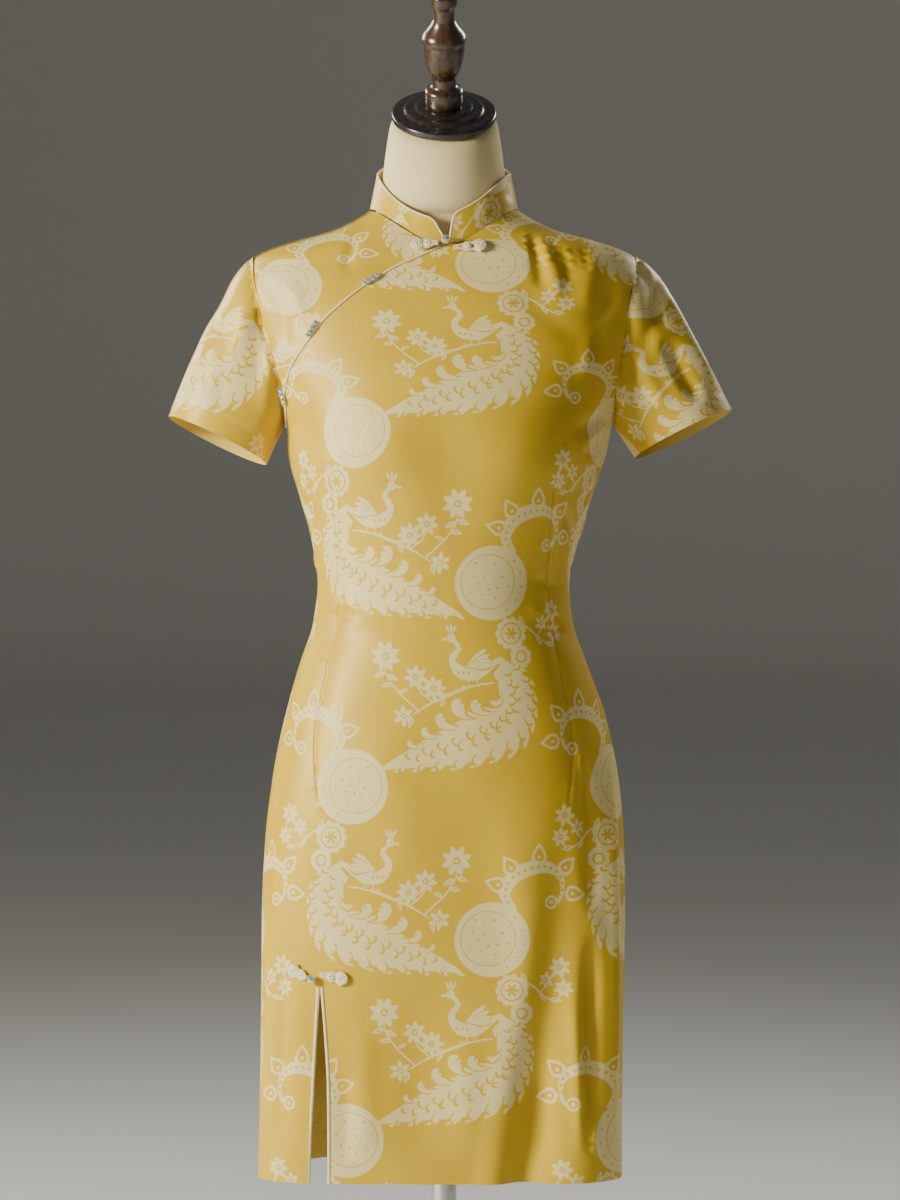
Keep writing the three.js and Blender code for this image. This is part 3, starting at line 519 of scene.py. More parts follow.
@dataclass(frozen=True)
class Satin:
    """Silk satin: a smooth face with a fine twill and slightly uneven colour."""

    name: str
    low: tuple[int, int, int]
    high: tuple[int, int, int]
    rough: float
    sheen: float = 0.12
    twill: float = 0.25
    shine: float = 0.5
    along: float = 0.35

    def build(self) -> bpy.types.Material:
        """The finished material."""
        nodes = Nodes(self.name)
        mottle = nodes.noise(26, 3, (1, 1, 0.45))
        colour = nodes.mixed(mottle, linear(*self.low), linear(*self.high), 0.3, 0.7)
        thread = nodes.add(
            "ShaderNodeTexWave",
            Vector=nodes.add(
                "ShaderNodeMapping", Vector=nodes.place.outputs["Object"], Rotation=(0.0, 0.62, 0.0)
            ).outputs["Vector"],
            Scale=900.0,
            Distortion=0.6,
            Detail=1.0,
        )
        slub = nodes.noise(420, 2, (1, 1, 0.06))
        height = nodes.add("ShaderNodeMix", data_type="FLOAT", Factor=0.45, A=thread.outputs["Fac"], B=slub)
        nodes.dress(
            Base_Color=colour,
            Roughness=nodes.scaled(nodes.noise(140, 2), self.rough - 0.05, self.rough + 0.06),
            Normal=nodes.bump(height.outputs["Result"], self.twill, 0.00012),
            Sheen_Weight=self.sheen,
            Sheen_Roughness=0.35,
            Sheen_Tint=linear(255, 226, 150),
            Specular_Tint=linear(255, 236, 186),
            Specular_IOR_Level=self.shine,
            Anisotropic=self.along,
        )
        return nodes.material


@dataclass(frozen=True)
class Cord:
    """Cream satin bias cord, with the fine slant of its wrapping."""

    name: str
    low: tuple[int, int, int]
    high: tuple[int, int, int]
    rough: float = 0.42

    def build(self) -> bpy.types.Material:
        """The finished material."""
        nodes = Nodes(self.name)
        wrap = nodes.add(
            "ShaderNodeTexWave",
            Vector=nodes.place.outputs["Object"],
            bands_direction="DIAGONAL",
            Scale=420.0,
            Distortion=1.5,
        ).outputs["Fac"]
        nodes.dress(
            Base_Color=nodes.mixed(nodes.noise(90, 3), linear(*self.low), linear(*self.high), 0.3, 0.7),
            Roughness=nodes.scaled(wrap, self.rough - 0.05, self.rough + 0.08),
            Normal=nodes.bump(wrap, 0.35, 0.0002),
            Sheen_Weight=0.2,
        )
        return nodes.material


@dataclass(frozen=True)
class Linen:
    """The dress form's plain cotton cover."""

    name: str = "form_cotton"

    def build(self) -> bpy.types.Material:
        """The finished material."""
        nodes = Nodes(self.name)
        across, upward = (
            nodes.add(
                "ShaderNodeTexWave",
                Vector=nodes.place.outputs["Object"],
                bands_direction=way,
                Scale=650.0,
                Distortion=0.8,
            ).outputs["Fac"]
            for way in ("X", "Z")
        )
        weave = nodes.add("ShaderNodeMix", data_type="FLOAT", Factor=0.5, A=across, B=upward)
        nodes.dress(
            Base_Color=nodes.mixed(
                nodes.noise(18, 4), linear(226, 204, 146), linear(236, 216, 164), 0.3, 0.72
            ),
            Roughness=nodes.scaled(nodes.noise(60, 2), 0.72, 0.88),
            Normal=nodes.bump(weave.outputs["Result"], 0.3, 0.00025),
            Sheen_Weight=0.15,
        )
        return nodes.material


@dataclass(frozen=True)
class DarkWood:
    """Dark turned wood under polish, its grain running along the turning."""

    name: str
    low: tuple[int, int, int]
    high: tuple[int, int, int]
    rough: float = 0.26

    def build(self) -> bpy.types.Material:
        """The finished material."""
        nodes = Nodes(self.name)
        grain = nodes.noise(34, 6, (6, 6, 0.7))
        nodes.dress(
            Base_Color=nodes.mixed(grain, linear(*self.low), linear(*self.high), 0.36, 0.68),
            Roughness=nodes.scaled(nodes.noise(80, 3), self.rough - 0.06, self.rough + 0.1),
            Normal=nodes.bump(grain, 0.12, 0.0004),
            Coat_Weight=0.6,
            Coat_Roughness=0.12,
        )
        return nodes.material


@dataclass(frozen=True)
class Metal:
    """Plated or painted metal with fine wear."""

    name: str
    low: tuple[int, int, int]
    high: tuple[int, int, int]
    rough: float
    metallic: float = 1.0
    fine: float = 160.0

    def build(self) -> bpy.types.Material:
        """The finished material."""
        nodes = Nodes(self.name)
        wear = nodes.noise(self.fine, 4)
        nodes.dress(
            Base_Color=nodes.mixed(wear, linear(*self.low), linear(*self.high), 0.35, 0.7),
            Roughness=nodes.scaled(nodes.noise(self.fine * 0.6, 3), self.rough - 0.05, self.rough + 0.1),
            Normal=nodes.bump(wear, 0.08, 0.0002),
            Metallic=self.metallic,
        )
        return nodes.material


@dataclass(frozen=True)
class Crystal:
    """Cut glass backed with foil, which glitters rather than showing through."""

    name: str = "cut_crystal"

    def build(self) -> bpy.types.Material:
        """The finished material."""
        nodes = Nodes(self.name)
        nodes.dress(
            Base_Color=nodes.mixed(
                nodes.noise(900, 1), linear(196, 202, 214), linear(246, 246, 250), 0.4, 0.6
            ),
            Roughness=nodes.scaled(nodes.noise(500, 1), 0.03, 0.1),
            Metallic=0.75,
            Coat_Weight=1.0,
            Coat_Roughness=0.03,
        )
        return nodes.material


class Finishes:
    """Every material of the part, built once."""

    def __init__(self) -> None:
        """Builds them all."""
        self.ground = Satin("golden_satin", (206, 168, 35), (216, 180, 45), 0.36).build()
        self.figure = Satin(
            "pale_figure", (226, 206, 136), (234, 216, 154), 0.48, sheen=0.2, along=0.1
        ).build()
        self.reverse = Satin("satin_reverse", (214, 184, 84), (222, 194, 100), 0.6, twill=0.4).build()
        self.reverse_figure = Satin("figure_reverse", (206, 174, 70), (214, 184, 86), 0.6, twill=0.4).build()
        self.cord = Cord("cream_cord", (232, 214, 158), (244, 230, 184)).build()
        self.cotton = Linen().build()
        self.cap_wood = DarkWood("cap_wood", (26, 23, 21), (50, 42, 35)).build()
        self.finial_wood = DarkWood("finial_wood", (40, 26, 14), (78, 54, 30)).build()
        self.steel = Metal("polished_steel", (186, 188, 186), (214, 214, 210), 0.16).build()
        self.paint = Metal("base_paint", (24, 22, 21), (36, 33, 31), 0.42, metallic=0.1).build()
        self.setting = Metal("clasp_setting", (120, 122, 128), (176, 178, 182), 0.24).build()
        self.crystal = Crystal().build()
        self.cloth = (self.ground, self.figure, self.reverse, self.reverse_figure)


# ---- the brocade's figures ----


@dataclass(frozen=True)
class Shape:
    """One closed outline of the brocade. The last drawn shape over a place says which satin shows there."""

    points: Array
    figure: bool = True

    def placed(self, at: Point2, mirror: bool) -> "Shape":
        """The same shape somewhere else, perhaps turned over."""
        flip = -1.0 if mirror else 1.0
        moved = self.points * np.array([flip, 1.0]) + np.array(at)
        return Shape(moved[::-1] if mirror else moved, self.figure)


class Pen:
    """Draws the outlines that the brocade's figures are made of."""

    def __init__(self) -> None:
        """Starts with nothing drawn."""
        self.shapes: list[Shape] = []

    def lay(self, points: Array, figure: bool = True) -> None:
        """Adds one outline."""
        x, y = points[:, 0], points[:, 1]
        anticlockwise = np.sum(x * np.roll(y, -1) - y * np.roll(x, -1)) > 0
        self.shapes.append(Shape(points if anticlockwise else points[::-1], figure))

    def round(
        self, x: float, y: float, r: float, figure: bool = True, lobes: int = 0, deep: float = 0.0
    ) -> None:
        """A disc, or a scalloped one.

        Args:
            x: Its middle across.
            y: Its middle up.
            r: Its radius.
            figure: Whether it is of the figure satin.
            lobes: How many scallops its edge has.
            deep: How deep they are, as a share of the radius.
        """
        count = max(8, int(r * 1.6), lobes * 5)
        t = np.linspace(0, 2 * math.pi, count, endpoint=False)
        radius = r * (1 - deep + deep * np.abs(np.sin(t * lobes / 2)) ** 0.8) if lobes else np.full(count, r)
        self.lay(np.stack([x + radius * np.cos(t), y + radius * np.sin(t)], 1), figure)

    def petal(
        self,
        x: float,
        y: float,
        heading: float,
        length: float,
        width: float,
        figure: bool = True,
        fat: float = 0.45,
    ) -> None:
        """A pointed petal or leaf.

        Args:
            x: Its foot across.
            y: Its foot up.
            heading: Which way it points, in degrees.
            length: Its length.
            width: Its width.
            figure: Whether it is of the figure satin.
            fat: How far along its widest place is.
        """
        c, s = math.cos(math.radians(heading)), math.sin(math.radians(heading))
        t = np.linspace(0, 1, 6 if length < 12 else 9)
        side = np.sin(math.pi * t ** (math.log(0.5) / math.log(fat))) ** 0.9 * width / 2
        along = np.concatenate([t, t[-2:0:-1]]) * length
        across = np.concatenate([side, -side[-2:0:-1]])
        self.lay(np.stack([x + along * c - across * s, y + along * s + across * c], 1), figure)

    def band(self, line: Array, widths: Array, figure: bool = True) -> None:
        """A band of changing width along a line of points."""
        step = np.gradient(line, axis=0)
        step /= np.linalg.norm(step, axis=1)[:, None] + 1e-9
        side = np.stack([-step[:, 1], step[:, 0]], 1) * (widths / 2)[:, None]
        self.lay(np.concatenate([line + side, (line - side)[::-1]]), figure)

    def stroke(
        self, stops: Sequence[Point2], start: float, middle: float, end: float, figure: bool = True
    ) -> None:
        """A brush stroke through some stops, with its width at its start, middle and end."""
        line = respaced(catmull(stops, 40), 3.2)
        t = np.linspace(0, 1, len(line))
        self.band(line, np.interp(t, [0, 0.5, 1], [start, middle, end]), figure)

    def curl(self, x: float, y: float, heading: float, size: float, hand: int) -> None:
        """A plume that rolls up at its end, with ground showing round it and an eye in the roll.

        Args:
            x: Its foot across.
            y: Its foot up.
            heading: Which way it sets off, in degrees.
            size: Its length, about.
            hand: Which way it rolls: 1 anticlockwise and -1 clockwise.
        """
        t = np.linspace(0, 1, 11)
        turn = math.radians(heading) + hand * (0.35 * t + 3.5 * t**2.4)
        step = size * (1.35 - t) / len(t)
        line = np.stack([x + np.cumsum(step * np.cos(turn)), y + np.cumsum(step * np.sin(turn))], 1)
        width = size * (0.07 + 0.15 * np.sin(math.pi * t**0.85))
        self.band(line, width + 2.2, False)
        self.band(line, width)
        eye = line[8] + hand * np.array([-math.sin(turn[8]), math.cos(turn[8])]) * size * 0.13
        self.round(eye[0], eye[1], max(0.9, size * 0.045))

    def scroll(self, x: float, y: float, heading: float, size: float, hand: int) -> None:
        """A thin rolled line of the ground satin, as between the barbs of a plume.

        Args:
            x: Its foot across.
            y: Its foot up.
            heading: Which way it sets off, in degrees.
            size: Its length, about.
            hand: Which way it rolls: 1 anticlockwise and -1 clockwise.
        """
        t = np.linspace(0, 1, 8)
        turn = math.radians(heading) + hand * (0.3 * t + 3.1 * t**2)
        step = size * (1.35 - t) / len(t)
        line = np.stack([x + np.cumsum(step * np.cos(turn)), y + np.cumsum(step * np.sin(turn))], 1)
        self.band(line, np.interp(t, [0, 0.6, 1], [1.1, 2.6, 1.3]), False)

    def blossom(self, x: float, y: float, r: float, petals: int = 7, turn: float = 15) -> None:
        """A flower of pointed petals round a small eye."""
        for k in range(petals):
            heading = turn + 360 * k / petals
            a = math.radians(heading)
            self.petal(x + 0.16 * r * math.cos(a), y + 0.16 * r * math.sin(a), heading, r * 0.86, r * 0.46)
        self.round(x, y, r * 0.24, False)
        self.round(x, y, r * 0.13)

    def leaf(self, x: float, y: float, heading: float, length: float) -> None:
        """A leaf with its rib left in the ground satin."""
        self.petal(x, y, heading, length, length * 0.42)
        a, foot = math.radians(heading), 0.2 * length
        self.petal(x + foot * math.cos(a), y + foot * math.sin(a), heading, length * 0.6, 1.1, False)


def moonlit_bird() -> list[Shape]:
    """One group of the brocade: a moon, a garland, a long-tailed bird on a bough, and blossoms.

    Returns:
        Its shapes in millimetres, from the moon's middle, with the bird looking to the left.
    """
    pen = Pen()
    moon(pen)
    garland(pen)
    tail(pen)
    bough(pen)
    bird(pen)
    return pen.shapes


def moon(pen: Pen) -> None:
    """The moon with its halo, and the two small medallions below it."""
    pen.round(0, 0, 37)
    pen.round(-4, 1, 27.5, False)
    pen.round(-4, 1, 26.6)
    for k in range(5):
        a = math.radians(-60 + 26 * k)
        pen.round(30.5 * math.cos(a), 31 * math.sin(a), 1.2, False)
    for k in range(16):
        a, r = 2.4 * k, 5 + 1.25 * k
        pen.round(-4 + r * math.cos(a), 1 + r * math.sin(a), 0.9 + 0.25 * (k % 3), False)
    pen.round(20, -50, 16.5, True, 11, 0.16)
    pen.round(20, -50, 11, False)
    pen.round(20, -50, 9.6)
    for k in range(6):
        pen.petal(20, -50, 60 * k, 7.6, 2.6, False)
    pen.round(30, -73, 11.5, True, 8, 0.14)
    pen.round(30, -73, 6.2, False)
    pen.round(30, -73, 4.4)


def garland(pen: Pen) -> None:
    """The beaded band over the moon, its five open leaf tips and its rolled end."""
    stops = [(22, 29), (12, 44), (19, 61), (36, 70), (54, 71), (68, 62), (71, 47), (66, 35)]
    line = respaced(catmull(stops, 90), 3.4)
    t = np.linspace(0, 1, len(line))
    pen.band(line, 4 + 10.5 * np.sin(math.pi * np.minimum(1, t * 1.1 + 0.06)))
    for k in range(3, len(line) - 4, 2):
        pen.round(line[k][0], line[k][1], 1.5, False)
    pen.round(59, 36, 7.2)
    pen.round(59, 36, 4.6, False)
    pen.round(59, 36, 2.3)
    for x, y, heading in ((13, 52, 165), (22, 64, 122), (46, 73, 92), (68, 64, 46), (73, 45, 352)):
        a = math.radians(heading)
        pen.petal(x, y, heading, 22, 16, True, 0.34)
        pen.petal(x + 3.4 * math.cos(a), y + 3.4 * math.sin(a), heading, 14.5, 10, False, 0.34)
        pen.round(x + 8 * math.cos(a), y + 8 * math.sin(a), 2)


def tail(pen: Pen) -> None:
    """The bird's broad train: it sweeps down, turns under the bough and ends in long loose barbs."""
    outside = [(8, -72), (33, -92), (39, -124), (25, -156), (-18, -174), (-68, -180), (-112, -183)]
    inside_stops = [(-4, -80), (6, -102), (2, -120), (-20, -128), (-46, -141), (-74, -157), (-112, -181)]
    outer, inner = catmull(outside, 61), catmull(inside_stops, 61)
    pen.lay(np.concatenate([outer, inner[::-1]])[::2])
    rows = {s: outer + (inner - outer) * s for s in (0.0, 0.2, 0.42, 0.64, 0.86, 1.0)}
    ways = {s: np.degrees(np.arctan2(*np.gradient(line, axis=0).T[::-1])) for s, line in rows.items()}
    width = np.linalg.norm(outer - inner, axis=1)

    for i in range(58, 3, -4):
        size = 9 + 0.22 * width[i]
        x, y = rows[0.0][i]
        pen.petal(x, y, ways[0.0][i] + 14, size, size * 0.3)
    for k, way in enumerate((186, 194, 202, 178, 210)):
        x, y = rows[0.42][50 - 2 * k]
        pen.petal(x, y, way, 30 - 2.5 * k, 4.4)
    for i, size in ((50, 18), (44, 27), (37, 37), (29, 46), (21, 40), (14, 24)):
        x, y = rows[0.86][i]
        pen.curl(x, y, ways[0.86][i] - 26, size, -1)
    for share, hand in ((0.2, 1), (0.42, -1), (0.64, 1), (0.86, -1)):
        for i in range(56 - int(10 * share), 4, -4 if share < 0.8 else -6):
            x, y = rows[share][i]
            pen.scroll(x, y, ways[share][i] + hand * 24, 7 + 0.33 * width[i], hand)


def bough(pen: Pen) -> None:
    """The bough the bird stands on, with its blossoms and leaves, and a second sprig by the moon."""
    pen.stroke([(2, -98), (-20, -101), (-42, -109), (-62, -118), (-80, -129)], 1.6, 3.4, 1.2)
    pen.stroke([(-44, -110), (-56, -106), (-66, -105)], 1.8, 1.5, 1)
    pen.stroke([(-58, -117), (-70, -108), (-76, -97)], 1.8, 1.5, 1)
    pen.stroke([(-74, -125), (-92, -108), (-103, -92), (-106, -80)], 1.8, 1.8, 1.2)
    for x, y, r, petals in (
        (-75, -92, 12, 7),
        (-58, -103, 12.5, 8),
        (-89, -130, 11, 6),
        (-105, -72, 15.5, 8),
        (69, -29, 11.5, 7),
        (55, -41, 9, 6),
        (73, -50, 10, 7),
    ):
        pen.blossom(x, y, r, petals, 20 + 3 * x % 40)
    for x, y, way, length in (
        (-105, -88, 200, 13),
        (-104, -90, 335, 13),
        (-98, -99, 190, 12),
        (-92, -107, 20, 10),
        (-82, -129, 205, 12),
        (-80, -131, 250, 12),
        (-48, -111, 250, 11),
        (-30, -104, 70, 9),
        (34, -42, 120, 11),
        (48, -52, 300, 12),
        (60, -60, 350, 12),
    ):
        pen.leaf(x, y, way, length)
    pen.stroke([(26, -38), (40, -46), (52, -56), (66, -64)], 1.4, 2.2, 1)
    pen.stroke([(48, -53), (56, -46), (62, -36)], 1.4, 1.3, 0.9)


def bird(pen: Pen) -> None:
    """The bird itself, drawn last so that it stands in front."""
    gap = [(-37, -57), (-31, -64), (-37, -72), (-41, -80), (-30, -91), (-12, -92), (6, -78)]
    pen.stroke(gap, 7, 17, 8, False)
    pen.stroke([(-38, -56), (-32.5, -64), (-38, -72), (-38, -80), (-28, -87)], 4, 6.5, 9)
    pen.stroke([(-38, -80), (-30, -89), (-14, -88), (6, -76)], 8, 13.5, 5)
    pen.round(-40, -54, 4.4)
    pen.round(-41, -53.4, 0.9, False)
    pen.petal(-43, -54.5, 190, 7.5, 3)
    for k, way in enumerate((66, 90, 114)):
        pen.petal(-39 - k, -50.5, way, 10.5, 2.7, True, 0.6)
    for k in range(4):
        pen.petal(-27 + 1.5 * k, -84 + 0.4 * k, 42 - 13 * k, 30 - 2 * k, 8.4, False, 0.6)
        pen.petal(-26.4 + 1.5 * k, -83.4 + 0.4 * k, 42 - 13 * k, 28.6 - 2 * k, 6.2, True, 0.6)
    for k in range(3):
        pen.petal(-34 + 5 * k, -86 - 0.5 * k, 300, 3.6, 2.2, False)
    pen.stroke([(-22, -93), (-24, -98), (-22, -103)], 1.6, 1.2, 1.2)
    pen.stroke([(-15, -93), (-15, -98), (-13, -102)], 1.6, 1.2, 1.2)


@dataclass(frozen=True)
class Repeat:
    """How the brocade's group repeats over one piece's flat cloth: turned over, and in half drop."""

    across: float
    up: float
    drop: float = 25.0
    first_mirrored: bool = True
    step: float = 141.0
    pitch: float = 350.0

    def over(self, low: Array, high: Array, group: list[Shape]) -> list[Shape]:
        """The shapes that fall within a box of flat cloth.

        Args:
            low: The box's lowest corner.
            high: Its highest corner.
            group: One group's shapes.

        Returns:
            Every shape that reaches into the box.
        """
        placed: list[Shape] = []
        for i in range(math.floor((low[0] - self.across) / self.step) - 1, 8):
            x = self.across + i * self.step
            odd = i % 2
            for j in range(-4, 5):
                y = self.up + j * self.pitch + (self.pitch / 2 + self.drop if odd else 0)
                for shape in group:
                    s = shape.placed((x, y), self.first_mirrored != bool(odd))
                    if np.all(s.points.max(0) > low) and np.all(s.points.min(0) < high):
                        placed.append(s)
        return placed


# ---- cloth ----


@dataclass(frozen=True)
class Crease:
    """A soft trough or ridge along a line on the flat cloth. depth is minus for a trough."""

    line: Array
    width: float
    depth: float
    taper: float = 0.3

    def relief(self, uv: Array) -> Array:
        """How far it moves the cloth at places on the flat cloth."""
        out = np.zeros(len(uv))
        reach = 2.6 * self.width
        near = np.all((uv > self.line.min(0) - reach) & (uv < self.line.max(0) + reach), axis=1)
        if not near.any():
            return out
        p = uv[near]
        best, where = np.full(len(p), 1e9), np.zeros(len(p))
        count = len(self.line) - 1
        for k in range(count):
            a, b = self.line[k], self.line[k + 1]
            d = b - a
            t = np.clip((p - a) @ d / max(d @ d, 1e-9), 0, 1)
            gap = np.hypot(*(p - a - t[:, None] * d).T)
            closer = gap < best
            best, where = np.where(closer, gap, best), np.where(closer, (k + t) / count, where)
        ends = 1.0
        if self.taper > 0:
            ends = smoothstep(where / self.taper) * smoothstep((1 - where) / self.taper)
        out[near] = self.depth * ends * np.exp(-((best / self.width) ** 2))
        return out


def crease_rows(surface: BodySurface, rows: Iterable[Sequence[float]]) -> list[Crease]:
    """Creases from a table in front view.

    Args:
        surface: The half of the body they are on.
        rows: For each its start x and z, its end x and z, how far it bows, its width and its depth.

    Returns:
        The creases on the flat cloth.
    """
    creases = []
    for x0, z0, x1, z1, bow, width, depth in rows:
        t = np.linspace(0, 1, 13)
        run = np.array([x1 - x0, z1 - z0])
        side = np.array([-run[1], run[0]]) / np.hypot(*run)
        line = np.array([x0, z0]) + t[:, None] * run + (4 * t * (1 - t) * bow)[:, None] * side
        creases.append(Crease(surface.flat(line[:, 0], line[:, 1]), width, 1.5 * depth))
    return creases


@dataclass
class Panel:
    """One piece of cloth: its cut on the flat, the surface it takes and the creases in it."""

    name: str
    node: str
    surface: Callable[[Array], Array]
    edge: Array
    creases: list[Crease]
    repeat: Repeat
    flat: tuple[float, float]
    area: float
    rests_on: tuple[str, ...] = FORM
    seams: list[Array] = field(default_factory=list)
    thick: float = 0.9
    sunk: float = 0.0
    grid: float = 6.0
    outward: float = 1.0
    held: str = "hung"
    fine: list[Array] = field(default_factory=list)
    turned_out: tuple[Point2, Point2] = ((1e9, 1e9), (-1e9, -1e9))

    def relief(self, uv: Array) -> Array:
        """How far all the creases together move the cloth."""
        return sum((c.relief(uv) for c in self.creases), np.zeros(len(uv)))

    def raised(self, uv: Array) -> Array:
        """The cloth's outer face at places on the flat cloth."""
        base, normal = self.base(uv)
        return base + normal * (self.relief(uv) - self.sunk)[:, None]

    def base(self, uv: Array) -> tuple[Array, Array]:
        """The smooth surface and its outward normals."""
        return self.surface(uv), self.normals(self.surface, uv, 1.5)

    def normals(self, surface: Callable[[Array], Array], uv: Array, step: float) -> Array:
        """Outward normals of a surface, from its slopes."""
        du, dv = np.array([step, 0]), np.array([0, step])
        across = surface(uv + du) - surface(uv - du)
        up = surface(uv + dv) - surface(uv - dv)
        normal = np.cross(across, up) * self.outward
        return normal / (np.linalg.norm(normal, axis=1)[:, None] + 1e-12)

    def points_within(self) -> Array:
        """A staggered grid of points inside the cut, with finer rows along the sharp creases."""
        low, high = self.edge.min(0), self.edge.max(0)
        rows = []
        for i, v in enumerate(np.arange(low[1] + self.grid / 2, high[1], self.grid * 0.87)):
            u = np.arange(low[0] + (i % 2) * self.grid / 2, high[0], self.grid)
            rows.append(np.stack([u, np.full(len(u), v)], 1))
        for line in self.fine:
            step = np.gradient(line, axis=0)
            side = np.stack([-step[:, 1], step[:, 0]], 1) / np.linalg.norm(step, axis=1)[:, None]
            rows += [line + side * off for off in (-7, -4, -2, 0, 2, 4, 7)]
        points = np.concatenate(rows)
        return points[inside(points, self.edge) & (edge_gap(points, self.edge) > 1.6)]

    def build(self, finishes: Finishes, group: list[Shape]) -> bpy.types.Object:
        """Cuts, patterns, hangs and thickens the piece, and gives it to the frame.

        Args:
            finishes: The part's materials.
            group: The brocade's group of shapes.

        Returns:
            The finished object.
        """
        self.creases = self.creases + [Crease(line, 1.8, -0.5, 0.0) for line in self.seams]
        shapes = self.repeat.over(self.edge.min(0), self.edge.max(0), group)
        obj = self.closed_sheet(self.points_within(), shapes)
        for material in finishes.cloth:
            obj.data.materials.append(material)
        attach(obj, "root")
        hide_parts(self.node)
        list(self.rests_on)
        LOG.info("%s: %d faces", self.name, len(obj.data.polygons))
        return obj

    def closed_sheet(self, loose: Array, shapes: list[Shape]) -> bpy.types.Object:
        """A closed thin sheet of an outer and an inner face and the rim between them.

        Args:
            loose: The points of the plain grid.
            shapes: The brocade's shapes.

        Returns:
            The sheet, in metres.
        """
        uv, tris, patterned, _ = inlaid(self.edge, loose, shapes)
        after = rim_after(tris)
        loop = [next(iter(after))]
        while after[loop[-1]] != loop[0]:
            loop.append(after[loop[-1]])
        low, high = self.turned_out
        seen = [s for s in shapes if np.all(s.points.max(0) > low) and np.all(s.points.min(0) < high)]
        inner_uv, inner_tris, inner_patterned, on_rim = inlaid(uv[loop], loose, seen)
        back = {v: len(uv) + on_rim[k] for k, v in enumerate(loop)}
        walls = np.array([(b, a, back[a], back[b]) for a, b in after.items()])
        if self.outward < 0:
            tris, inner_tris, walls = tris[:, ::-1], inner_tris[:, ::-1], walls[:, ::-1]
        normal = self.normals(self.raised, uv, 0.8)
        inner_normal = self.normals(self.raised, inner_uv, 0.8)
        points = np.concatenate([self.raised(uv), self.raised(inner_uv) - inner_normal * self.thick])
        mesh = bpy.data.meshes.new(self.name)
        faces = [*tris.tolist(), *(inner_tris[:, ::-1] + len(uv)).tolist(), *walls.tolist()]
        mesh.from_pydata(points * MM, [], faces)
        slots = [patterned.astype(int), inner_patterned.astype(int) + 2, np.zeros(len(walls), int)]
        mesh.polygons.foreach_set("material_index", np.concatenate(slots))
        mesh.shade_smooth()
        mesh.normals_split_custom_set_from_vertices(np.concatenate([normal, -inner_normal]).tolist())
        mesh.update()
        return linked(self.name, mesh)


def inlaid(rim: Array, loose: Array, shapes: list[Shape]) -> tuple[Array, Array, Array, dict[int, int]]:
    """Triangles of a cut of cloth, with the brocade's shapes set into it.

    Args:
        rim: The cut's outline.
        loose: Points inside it.
        shapes: The brocade's shapes, the front ones last.

    Returns:
        The points, the triangles, which triangles are of the figure satin, and where each rim point went.
    """
    points, faces = [], []
    for outline in (rim, *(s.points for s in shapes)):
        faces.append(list(range(len(points), len(points) + len(outline))))
        points += [Vector(p) for p in outline]
        if outline is rim:
            points += [Vector(p) for p in loose]
    flat, _, triangles, sources, _, owners = delaunay_2d_cdt(points, [], faces, 1, 0.02, True)
    figured = [False] + [s.figure for s in shapes]
    kept = [(t, figured[max(owner)]) for t, owner in zip(triangles, owners) if 0 in owner]
    used = sorted({i for t, _ in kept for i in t})
    place = {i: k for k, i in enumerate(used)}
    on_rim = {i: place[k] for k in used for i in sources[k] if i < len(rim)}
    tris = np.array([[place[i] for i in t] for t, _ in kept])
    return np.array([flat[i] for i in used]), tris, np.array([figure for _, figure in kept]), on_rim


def rim_after(tris: Array) -> dict[int, int]:
    """The edge of a triangle mesh: for each vertex on it, the one that follows."""
    ends = np.concatenate([tris[:, [0, 1]], tris[:, [1, 2]], tris[:, [2, 0]]])
    keys = {(int(a), int(b)) for a, b in ends}
    return {a: b for a, b in keys if (b, a) not in keys}


def inside(points: Array, edge: Array) -> Array:
    """Which points lie inside a closed outline."""
    result = np.zeros(len(points), bool)
    x, y = points[:, 0], points[:, 1]
    for (x0, y0), (x1, y1) in zip(edge, np.roll(edge, -1, axis=0)):
        if y0 == y1:
            continue
        crosses = (y0 > y) != (y1 > y)
        result ^= crosses & (x < (x1 - x0) * (y - y0) / (y1 - y0) + x0)
    return result


def edge_gap(points: Array, edge: Array) -> Array:
    """How far points are from the nearest point of an outline."""
    best = np.full(len(points), 1e9)
    for start in range(0, len(edge), 64):
        part = edge[start : start + 64]
        gap = np.hypot(points[:, None, 0] - part[None, :, 0], points[:, None, 1] - part[None, :, 1])
        best = np.minimum(best, gap.min(1))
    return best


def linked(name: str, mesh: bpy.types.Mesh) -> bpy.types.Object:
    """A mesh as an object of the scene."""
    obj = bpy.data.objects.new(name, mesh)
    bpy.context.scene.collection.objects.link(obj)
    return obj


def body_lines(surface: BodySurface, side: int) -> dict[str, Array]:
    """The seam lines of one side of a body panel on its flat cloth.

    Args:
        surface: The panel's half of the body.
        side: -1 for the wearer's right and 1 for the left.

    Returns:
        The side seam and the armhole from below upwards, and the shoulder seam inwards.
    """
    heights = np.linspace(HEM_Z, ARMPIT_Z, 190)
    levels, weights = cubic_taps((heights - surface.LOW) / surface.STEP, len(surface.levels))
    seam_u = sum(surface.total[i] * w for i, w in zip(levels, weights))
    hole_z = np.linspace(ARMPIT_Z, TIP[1], 50)
    hole = surface.flat(side * ARMHOLE_X[side](hole_z), hole_z)
    hole[0] = [side * seam_u[-1], CLOTH_UP(ARMPIT_Z)]
    out = np.linspace(TIP[0], NECK_HALF, 40)
    shoulder_heights = shoulder_z(out)
    levels, weights = cubic_taps((shoulder_heights - surface.LOW) / surface.STEP, len(surface.levels))
    shoulder_u = sum(surface.total[i] * w for i, w in zip(levels, weights))
    return {
        "side": np.stack([side * seam_u, CLOTH_UP(heights)], 1),
        "armhole": hole,
        "shoulder": np.stack([side * shoulder_u, CLOTH_UP(shoulder_heights)], 1),
    }


